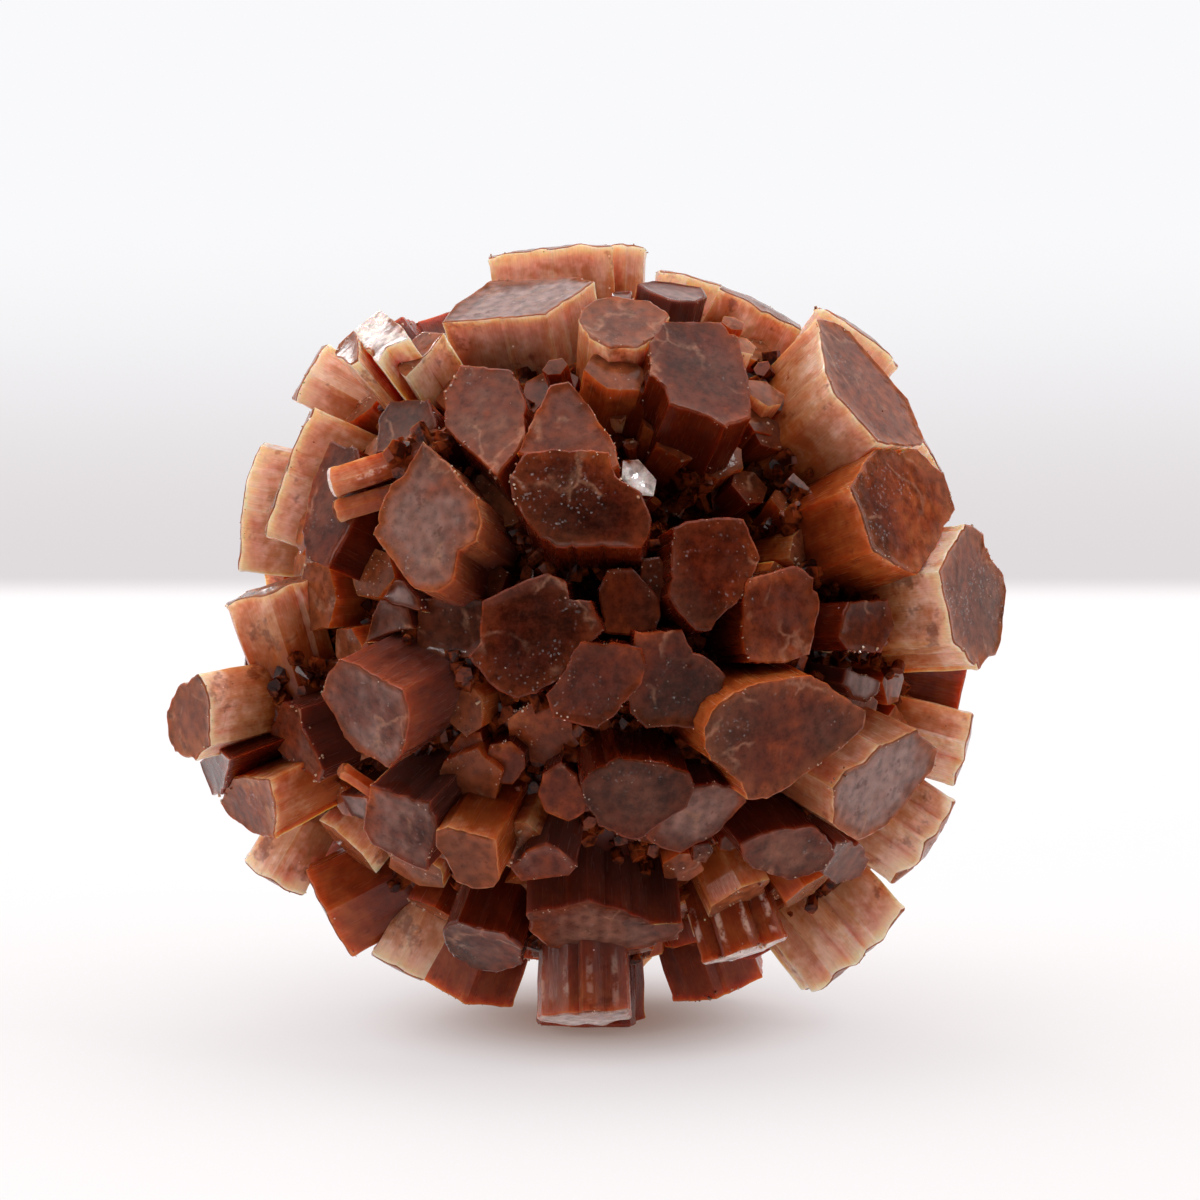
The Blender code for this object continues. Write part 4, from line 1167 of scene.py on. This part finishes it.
def zone_start(tree, cream):
    """Where the tip of a crystal stands on the ramp: 0 is cream, 0.7 is red-brown."""
    return tree.scaled(tree.math("MINIMUM", cream, 0.25), -2.9, 0.72)


print("zones:", len(ZONES), "colours from tip to root")

# %% [markdown]
# ## Painted glint specks, flakes and cracks
# Three small things make the stone look like stone near by. Pale specks painted into the colour
# are painted glints, healed cracks wander through the caps, and tiny flakes flash where their
# facets happen to mirror a lamp. All three start from Voronoi cells, which cut space into random
# crumbs: a speck sits in the middle of a crumb, a crack runs along the borders, and a flake is a
# crumb that tilts the coat's normal by its own random colour.

# %% Painted glint specks, flakes and cracks
def painted_glint_specks(tree, scale, radius, share):
    """Tiny pale specks in cells of noise, painted glints: 1 on a speck and 0 off it, on a share of
    the cells.
    """
    cells = tree.node("ShaderNodeTexVoronoi", {"Vector": tree.spot, "Scale": scale})
    near = tree.flip(tree.between(cells.outputs["Distance"], radius * 0.6, radius))
    pick = tree.part(cells.outputs["Color"], 0)
    return tree.times(near, tree.math("GREATER_THAN", pick, 1 - share))


def flakes(tree, scale, share, weight):
    """A coat of tiny facets that lean every way, on a share of its cells: they flash singly."""
    cells = tree.node("ShaderNodeTexVoronoi", {"Vector": tree.spot, "Scale": scale})
    crumb = cells.outputs["Color"]
    tilt = tree.vector("SUBTRACT", crumb, (0.5, 0.5, 0.5))
    normal = tree.node("ShaderNodeNewGeometry").outputs["Normal"]
    leaning = tree.vector("MULTIPLY_ADD", tilt, (1.1, 1.1, 1.1), normal)
    chosen = tree.math("GREATER_THAN", tree.part(crumb, 1), 1 - share)
    tree.finish({"Coat Weight": tree.times(chosen, weight), "Coat Roughness": 0.12,
                 "Coat Normal": tree.vector("NORMALIZE", leaning)})


def cracks(tree):
    """Thin wandering lines, here and there: healed cracks inside the stone."""
    stir = tree.node("ShaderNodeTexNoise", {"Vector": tree.spot, "Scale": 420.0, "Detail": 3.0})
    shifted = tree.vector("MULTIPLY", stir.outputs["Color"], (0.003, 0.003, 0.003))
    warped = tree.vector("ADD", tree.spot, shifted)
    cells = tree.node("ShaderNodeTexVoronoi", {"Vector": warped, "Scale": 190.0},
                      feature="DISTANCE_TO_EDGE")
    line = tree.flip(tree.between(cells.outputs["Distance"], 0.0, 0.05))
    return tree.times(line, tree.patches(260.0, 2.0, 0.5, 0.5, 0.62))


print("dust, flakes and cracks are ready")

# %% [markdown]
# ## The sides
# On a side, the mark's depth below the cap moves us along the ramp. A noise that is drawn out
# along the axis makes the zones run down in soft streaks, and finer ones are the grain of the
# grooves. The palest prisms get a painted glow of light through their tips and painted shade,
# in tan lines, in the valleys of their flutes. The prisms with the highest sheen number get
# painted glints on the crests, those with a middle one a greyish painted sheen, and pale specks
# are painted glints too. All of it is drawn by numbers on the mesh and noise in space, because a
# picture laid over so many prisms would show seams.

# %% The colours of the sides
def side_colour(tree, around, run, zone, drawn_out, painted_sheen_and_gloss, cream):
    """From the ramp's cream to red, with rust, painted sheen, glints and tip glow, and painted
    shade in the valleys.
    """
    base = tree.ramp(tree.math("MINIMUM", zone, DARKEST_SIDE), ZONES)
    # The share of painted glints, for the highest sheen numbers.
    painted_glint_share = tree.between(painted_sheen_and_gloss, 1.6, 2.3)
    # A greyish painted sheen for a middle sheen number, less where painted glints take over.
    grey = tree.times(tree.between(painted_sheen_and_gloss, 0.7, 1.4), 0.3)
    grey = tree.math("SUBTRACT", grey, tree.times(painted_glint_share, 0.3), clamp=True)
    base = tree.tint(base, grey, 134, 104, 96)
    rust = tree.times(tree.patches(330.0, 4.0, 0.7, 0.57, 0.66), 0.55)
    base = tree.tint(base, rust, 100, 32, 11)
    lined = tree.stretch(tree.noise(drawn_out, 9.0, 3.0, 0.7), 0.36, 0.64, 0.90, 1.07)
    base = tree.mix(1.0, base, lined, "MULTIPLY")
    # Pale specks on the sides: painted glints.
    base = tree.tint(base, painted_glint_specks(tree, 900.0, 0.085, 0.10), 240, 220, 205)
    wave = tree.math("SINE", tree.times(around, math.pi / FLUTE_WIDTH))
    crest = tree.math("ABSOLUTE", wave)
    near_tip = tree.times(tree.between(run, 0.2, 1.0), tree.flip(tree.between(run, 3.2, 4.6)))
    # Painted glints: pale streaks on the crests of the flutes, near the tip.
    painted_glint = tree.times(painted_glint_share, tree.between(crest, 0.86, 1.0),
                       tree.patches(900.0, 3.0, 0.7, 0.44, 0.62), near_tip, 0.8)
    base = tree.tint(base, painted_glint, 244, 212, 194)
    # Painted shade: tan lines in the valleys of the flutes, on the palest prisms.
    painted_groove_shade = tree.times(tree.flip(tree.between(crest, 0.0, 0.55)),
                        tree.patches(240.0, 3.0, 0.6, 0.4, 0.6),
                        tree.between(cream, 0.35, 0.5), 0.5)
    base = tree.tint(base, painted_groove_shade, 186, 100, 50)
    # Painted glow of light through the tips of the palest prisms.
    painted_tip_glow = tree.times(tree.flip(tree.between(run, -0.4, 1.8)), tree.between(cream, 0.2, 0.6), 0.6)
    return tree.tint(base, painted_tip_glow, 248, 223, 204)


print("a side stops at", DARKEST_SIDE, "of the ramp, so it is never as dark as a root")

# %% The finish of the sides
def finish_sides(material):
    """Streaked, finely grooved and glowing from within, deepest where the stone is pale."""
    tree = Tree(material)
    (around, depth, _), place = tree.read("place")
    (_, painted_sheen_and_gloss, cream), _ = tree.read("look")
    drawn_out = tree.vector("MULTIPLY", place, (1.0, 0.09, 0.0))
    run = tree.sway(tree.noise(drawn_out, 1.1, 4.0, 0.62), 1.9, depth)
    run = tree.sway(tree.noise(tree.spot, 210.0, 3.0, 0.6), 3.4, run)
    reach = tree.scaled(cream, 14.0, 16.0)
    zone = tree.math("ADD", tree.math("DIVIDE", run, reach), zone_start(tree, cream), clamp=True)
    zone = tree.sway(tree.noise(tree.spot, 300.0, 3.0, 0.6, 1.2), 0.3, zone, clamp=True)
    zone = tree.sway(tree.noise(tree.spot, 1100.0, 2.0, 0.7), 0.25, zone)
    grain = tree.noise(drawn_out, 5.0, 2.0, 0.5)
    relief = tree.bump(grain, 0.3, 0.00010)
    relief = tree.bump(tree.noise(drawn_out, 11.0, 3.0, 0.6), 0.3, 0.00006, relief)
    relief = tree.bump(tree.noise(tree.spot, 1500.0, 2.0), 0.25, 0.00005, relief)
    tree.finish({"Base Color": side_colour(tree, around, run, zone, drawn_out, painted_sheen_and_gloss, cream),
                 "Roughness": tree.stretch(grain, 0.0, 1.0, 0.10, 0.38),
                 "Specular IOR Level": 0.22, "Subsurface Weight": 0.9,
                 "Subsurface Scale": tree.stretch(zone, 0.0, 0.6, 0.006, 0.002),
                 "Normal": relief, **STONE})


finish_sides(ball.data.materials[1])
print("sides:", len(ball.data.materials[1].node_tree.nodes), "nodes")

# %% [markdown]
# ## The caps: clear brown to a painted mauve sheen
# A cap looks down into the crystal: at the rim we see its pale skin and in the middle its dark
# heart, so here the inset from the rim moves us along the ramp. On many caps a greyish mauve is
# painted into the colour, a painted sheen that stands for the reflection of the bright room, and
# there the cap is rougher too; a few get a painted white glare. Healed cracks cross them, flakes
# lie on them in swarms, and so do pale specks, which are painted glints. One facet, with the
# highest number, is almost a mirror with a painted white glare and dark flecks. The bump is low,
# because a cap is nearly flat.

# %% The colours of the caps
def cap_heart(tree, cream, tone, wavy, mottle):
    """The ramp's colour from the pale skin at the rim to the dark heart."""
    heart = tree.between(wavy, -0.8, tree.scaled(cream, 5.0, 2.0))
    zone = tree.scaled(tree.math("MINIMUM", cream, 0.1), -1.8, 0.68)
    zone = tree.scaled(heart, 0.20, zone)
    zone = tree.sway(tree.noise(tree.spot, 120.0, 2.0, 0.55), 1.5, zone)
    zone = tree.sway(mottle, 0.6, zone)
    zone = tree.sway(tone, 0.12, zone, clamp=True)
    skin = tree.times(tree.flip(heart), tree.scaled(cream, 3.4, 0.12, clamp=True), 0.75)
    return tree.tint(tree.ramp(zone, ZONES), skin, 172, 102, 64)


def painted_sheen_veil(tree, wavy, painted_sheen_and_gloss):
    """How much of a cap gets the painted sheen, where it is also rougher: in hazes, and less on a
    ring inside the rim.
    """
    ring = tree.times(tree.between(wavy, 0.5, 1.0), tree.flip(tree.between(wavy, 1.2, 2.0)))
    haze = tree.scaled(tree.patches(190.0, 3.0, 0.6, 0.36, 0.62), 1.0, 0.2)
    veil = tree.times(tree.between(wavy, 0.1, 1.1), painted_sheen_and_gloss, haze)
    return tree.math("MULTIPLY", veil, tree.scaled(ring, -0.45, 1.0), clamp=True)


def painted_sheen_sand_and_glare(tree, base, veil, painted_sheen_and_gloss, cloud, mottle):
    """Painted sheen in mauve and grey where the veil lies, then sand, and painted white glare on
    the caps with the most sheen.
    """
    # Mauve, greyer on caps with more sheen: a painted sheen that stands for the bright room's
    # reflection.
    mauve = tree.mix(mottle, colour(107, 53, 35), colour(157, 105, 84))
    mauve = tree.tint(mauve, tree.between(painted_sheen_and_gloss, 0.9, 1.4), 170, 142, 136)
    base = tree.mix(veil, base, mauve)
    sand = tree.times(tree.patches(3000.0, 2.0, 0.7, 0.35, 0.75), 0.35)
    base = tree.tint(base, sand, 84, 36, 24)
    # Painted white glare in patches on the caps with the highest sheen number.
    white = tree.times(tree.between(painted_sheen_and_gloss, 1.6, 2.4), tree.between(cloud, 0.36, 0.5))
    return tree.tint(base, white, 244, 222, 214)


print("mauve is", [round(v, 3) for v in colour(157, 105, 84)[:3]], "in linear light")

# %% The finish of the caps
def finish_caps(material):
    """Clear to a painted mauve sheen, with cracks, flecks, grit, painted glints on the rims and
    flashing flakes.
    """
    tree = Tree(material)
    (_, _, inset), _ = tree.read("place")
    (tone, painted_sheen_and_gloss, cream), _ = tree.read("look")
    cloud = tree.noise(tree.spot, 300.0, 3.0, 0.62)
    mottle = tree.noise(tree.spot, 1000.0, 3.0, 0.7)
    wavy = tree.sway(cloud, 2.0, inset)
    # The veil paints the mauve sheen into the colour and also makes the cap rougher.
    veil = painted_sheen_veil(tree, wavy, painted_sheen_and_gloss)
    mirror = tree.between(painted_sheen_and_gloss, 2.4, 2.5)
    swarm = tree.patches(230.0, 3.0, 0.6, 0.50, 0.64)
    base = cap_heart(tree, cream, tone, wavy, mottle)
    base = painted_sheen_sand_and_glare(tree, base, veil, painted_sheen_and_gloss, cloud, mottle)
    base = tree.tint(base, tree.times(cracks(tree), 0.4), 186, 132, 104)
    flecks = tree.times(tree.patches(700.0, 3.0, 0.7, 0.60, 0.70), tree.scaled(mirror, 0.4, 0.45))
    base = tree.tint(base, flecks, 70, 16, 6)
    grit = tree.stretch(tree.noise(tree.spot, 1500.0, 3.0, 0.75), 0.36, 0.64, 0.58, 1.26)
    base = tree.mix(1.0, base, grit, "MULTIPLY")
    rim = tree.flip(tree.between(inset, 0.05, 0.9))
    crowd = tree.times(tree.between(cloud, 0.40, 0.58), tree.scaled(rim, 0.8, 0.2), swarm)
    # Pale specks in swarms near the rims: painted glints.
    painted_rim_glints = tree.math("MULTIPLY", painted_glint_specks(tree, 1900.0, 0.17, 0.9), crowd, clamp=True)
    base = tree.tint(base, painted_rim_glints, 236, 204, 180)
    rough = tree.scaled(tree.math("ADD", veil, cloud), 0.12, 0.08)
    relief = tree.bump(cloud, 0.3, 0.00016)
    relief = tree.bump(tree.noise(tree.spot, 2600.0, 2.0, 0.6), 0.35, 0.00004, relief)
    tree.finish({"Base Color": base, "Normal": relief,
                 "Roughness": tree.times(rough, tree.scaled(mirror, -0.6, 1.0)),
                 "Specular IOR Level": tree.scaled(mirror, 0.9, 0.10),
                 "Subsurface Weight": 0.6, "Subsurface Scale": 0.0008, **STONE})
    flakes(tree, 7000.0, 0.08, tree.times(swarm, 0.8))


finish_caps(ball.data.materials[0])
print("caps:", len(ball.data.materials[0].node_tree.nodes), "nodes")

# %% [markdown]
# ## The grains
# The crust in the gaps is the same stone, dark red-brown and a little glossy, and the crumbs on
# the rims are clean, pale and shiny. Both could share the ball's finish, but a grain is too small
# for zones and streaks, so one colour that drifts a little is enough.

# %% The finish of the grains
def finish_grains(material, dark, light, rough, gloss, glow):
    """One colour that drifts from dark to light between neighbouring grains."""
    tree = Tree(material)
    base = tree.mix(tree.patches(700.0, 3.0, 0.7, 0.4, 0.6), colour(*dark), colour(*light))
    tree.finish({"Base Color": base, "Roughness": rough, "Specular IOR Level": gloss,
                 "Subsurface Weight": glow, "Subsurface Scale": 0.001, **STONE})


finish_grains(grains.data.materials[DARK], (48, 12, 4), (132, 56, 24), 0.18, 0.14, 0.5)
finish_grains(grains.data.materials[PALE], (120, 56, 32), (220, 176, 148), 0.08, 0.6, 0.3)
print("grains finished:", len(grains.data.materials), "materials")

# %% [markdown]
# ## The table and the wall
# The stage isn't part of the object. A white table runs back to an edge that is out of focus, and
# a pale wall stands far behind it. The real ones stand in a bright room. We could build that room,
# but its light would also wash out the stone. So both glow by themselves. Close to the ball the
# table's glow is dimmer and warmer: a painted shadow where the ball's shadow falls. At its back
# edge the table fades into the wall.

# %% The stage
BACK_EDGE = 237
FADE_WIDTH = 22
FAR_SIDE = 4000
WALL_AWAY = 900
WALL_LOW = colour(224, 219, 221)
WALL_HIGH = colour(249, 249, 251)
BLACK = (0, 0, 0, 1)


def panel(name, corners, finish):
    """A flat four-sided piece of the stage."""
    shape = bmesh.new()
    shape.faces.new([shape.verts.new(Vector(c) * MM) for c in corners])
    made = mesh_object(name, shape, bpy.context.scene.collection)
    made.data.materials.append(finish)


def table_finish():
    """White with a glow, a painted shadow round the ball, and turning into the light of the wall
    towards its back edge.
    """
    material = bpy.data.materials.new("white table")
    tree = Tree(material)
    fade = tree.between(tree.part(tree.spot, 1), (BACK_EDGE - FADE_WIDTH) * MM, BACK_EDGE * MM)
    from_ball = tree.node("ShaderNodeVectorMath", {0: tree.spot}, operation="LENGTH").outputs[1]
    # Close to the ball the glow drops to a dim warm brown: a painted shadow under the ball. The
    # table is whiter there, so the real shadow shows too.
    far = tree.between(from_ball, 2 * MM, 19 * MM)
    white = tree.mix(far, (0.50, 0.46, 0.44, 1), (0.28, 0.28, 0.28, 1))
    glow = tree.mix(far, (0.21, 0.145, 0.12, 1), (0.64, 0.605, 0.61, 1))
    tree.finish({"Base Color": tree.mix(fade, white, BLACK),
                 "Emission Color": tree.mix(fade, glow, WALL_LOW),
                 "Emission Strength": 1.0, "Specular IOR Level": 0.0})
    return material


def wall_finish():
    """Its own even light, a little greyer near the table."""
    material = bpy.data.materials.new("pale wall")
    tree = Tree(material)
    rise = tree.between(tree.part(tree.spot, 2), -90 * MM, -10 * MM)
    tree.finish({"Emission Color": tree.mix(rise, WALL_LOW, WALL_HIGH),
                 "Emission Strength": 1.0, "Base Color": BLACK, "Specular IOR Level": 0.0})
    return material


def rectangle(half, first, last):
    """Four corners: this far to both sides, from one edge (back, up) to the other."""
    return [(-half, *first), (half, *first), (half, *last), (-half, *last)]


panel("table", rectangle(FAR_SIDE, (-FAR_SIDE, 0), (BACK_EDGE + 2, 0)), table_finish())
panel("wall", rectangle(1500, (WALL_AWAY, -300), (WALL_AWAY, 700)), wall_finish())
print("table to the back edge:", BACK_EDGE, "mm")

# %% [markdown]
# ## The light
# The light on the stone is soft and comes mostly from above, with a window on each side and a
# lamp behind, so the front is in gentle shade. Large lamps give soft light but no glints, and the
# photograph has a few, so two small ones are added: one at the left, and one placed so that the
# bright facet mirrors it towards the eye. A faint sky lifts the darkest gaps.

# %% The lights
LAMPS = [("overhead", (0.0, 0.12, 0.80), (0, 0.04, 0), (1.6, 1.0), 11.5),
         ("window left", (-0.80, -0.10, 0.45), (0, 0, 0.02), (0.9, 0.6), 2.0),
         ("window right", (0.80, -0.10, 0.45), (0, 0, 0.02), (0.9, 0.6), 1.5),
         ("behind left", (-0.22, 0.50, 0.30), (0, 0, 0.03), (0.14, 0.10), 0.5),
         ("glint left", (-0.36, -0.30, 0.17), (0, 0, 0.03), (0.025, 0.025), 0.16)]


def soft_light(name, place, aim, size, power):
    """A rectangular lamp at a place, aimed at a point."""
    lamp = bpy.data.lights.new(name, "AREA")
    lamp.shape = "RECTANGLE"
    lamp.size, lamp.size_y = size
    lamp.energy = power
    made = bpy.data.objects.new(name, lamp)
    made.location = place
    made.rotation_euler = (Vector(aim) - Vector(place)).to_track_quat("-Z", "Y").to_euler()
    bpy.context.scene.collection.objects.link(made)


def mirrored_light(name, away, size, power):
    """A small lamp that the cap of this crystal mirrors towards the eye."""
    _, _, middle, axis, _ = next(crystal for crystal in crystals if crystal[0] == name)
    to_eye = (EYE - middle).normalized()
    bounced = axis.normalized() * (2 * axis.normalized().dot(to_eye)) - to_eye
    place = in_world(middle + bounced * away) * MM
    soft_light("glint of " + name, place, in_world(middle) * MM, (size, size), power)


def sky(tint, strength):
    """The faint, even light of the room."""
    world = bpy.data.worlds.new("room light")
    world.use_nodes = True
    background = world.node_tree.nodes["Background"]
    background.inputs["Color"].default_value = tint
    background.inputs["Strength"].default_value = strength
    bpy.context.scene.world = world


for row in LAMPS:
    soft_light(*row)
mirrored_light("bright facet", 450, 0.03, 0.12)
sky((1.0, 0.99, 0.98, 1), 0.06)
bpy.context.scene.view_settings.view_transform = "Standard"
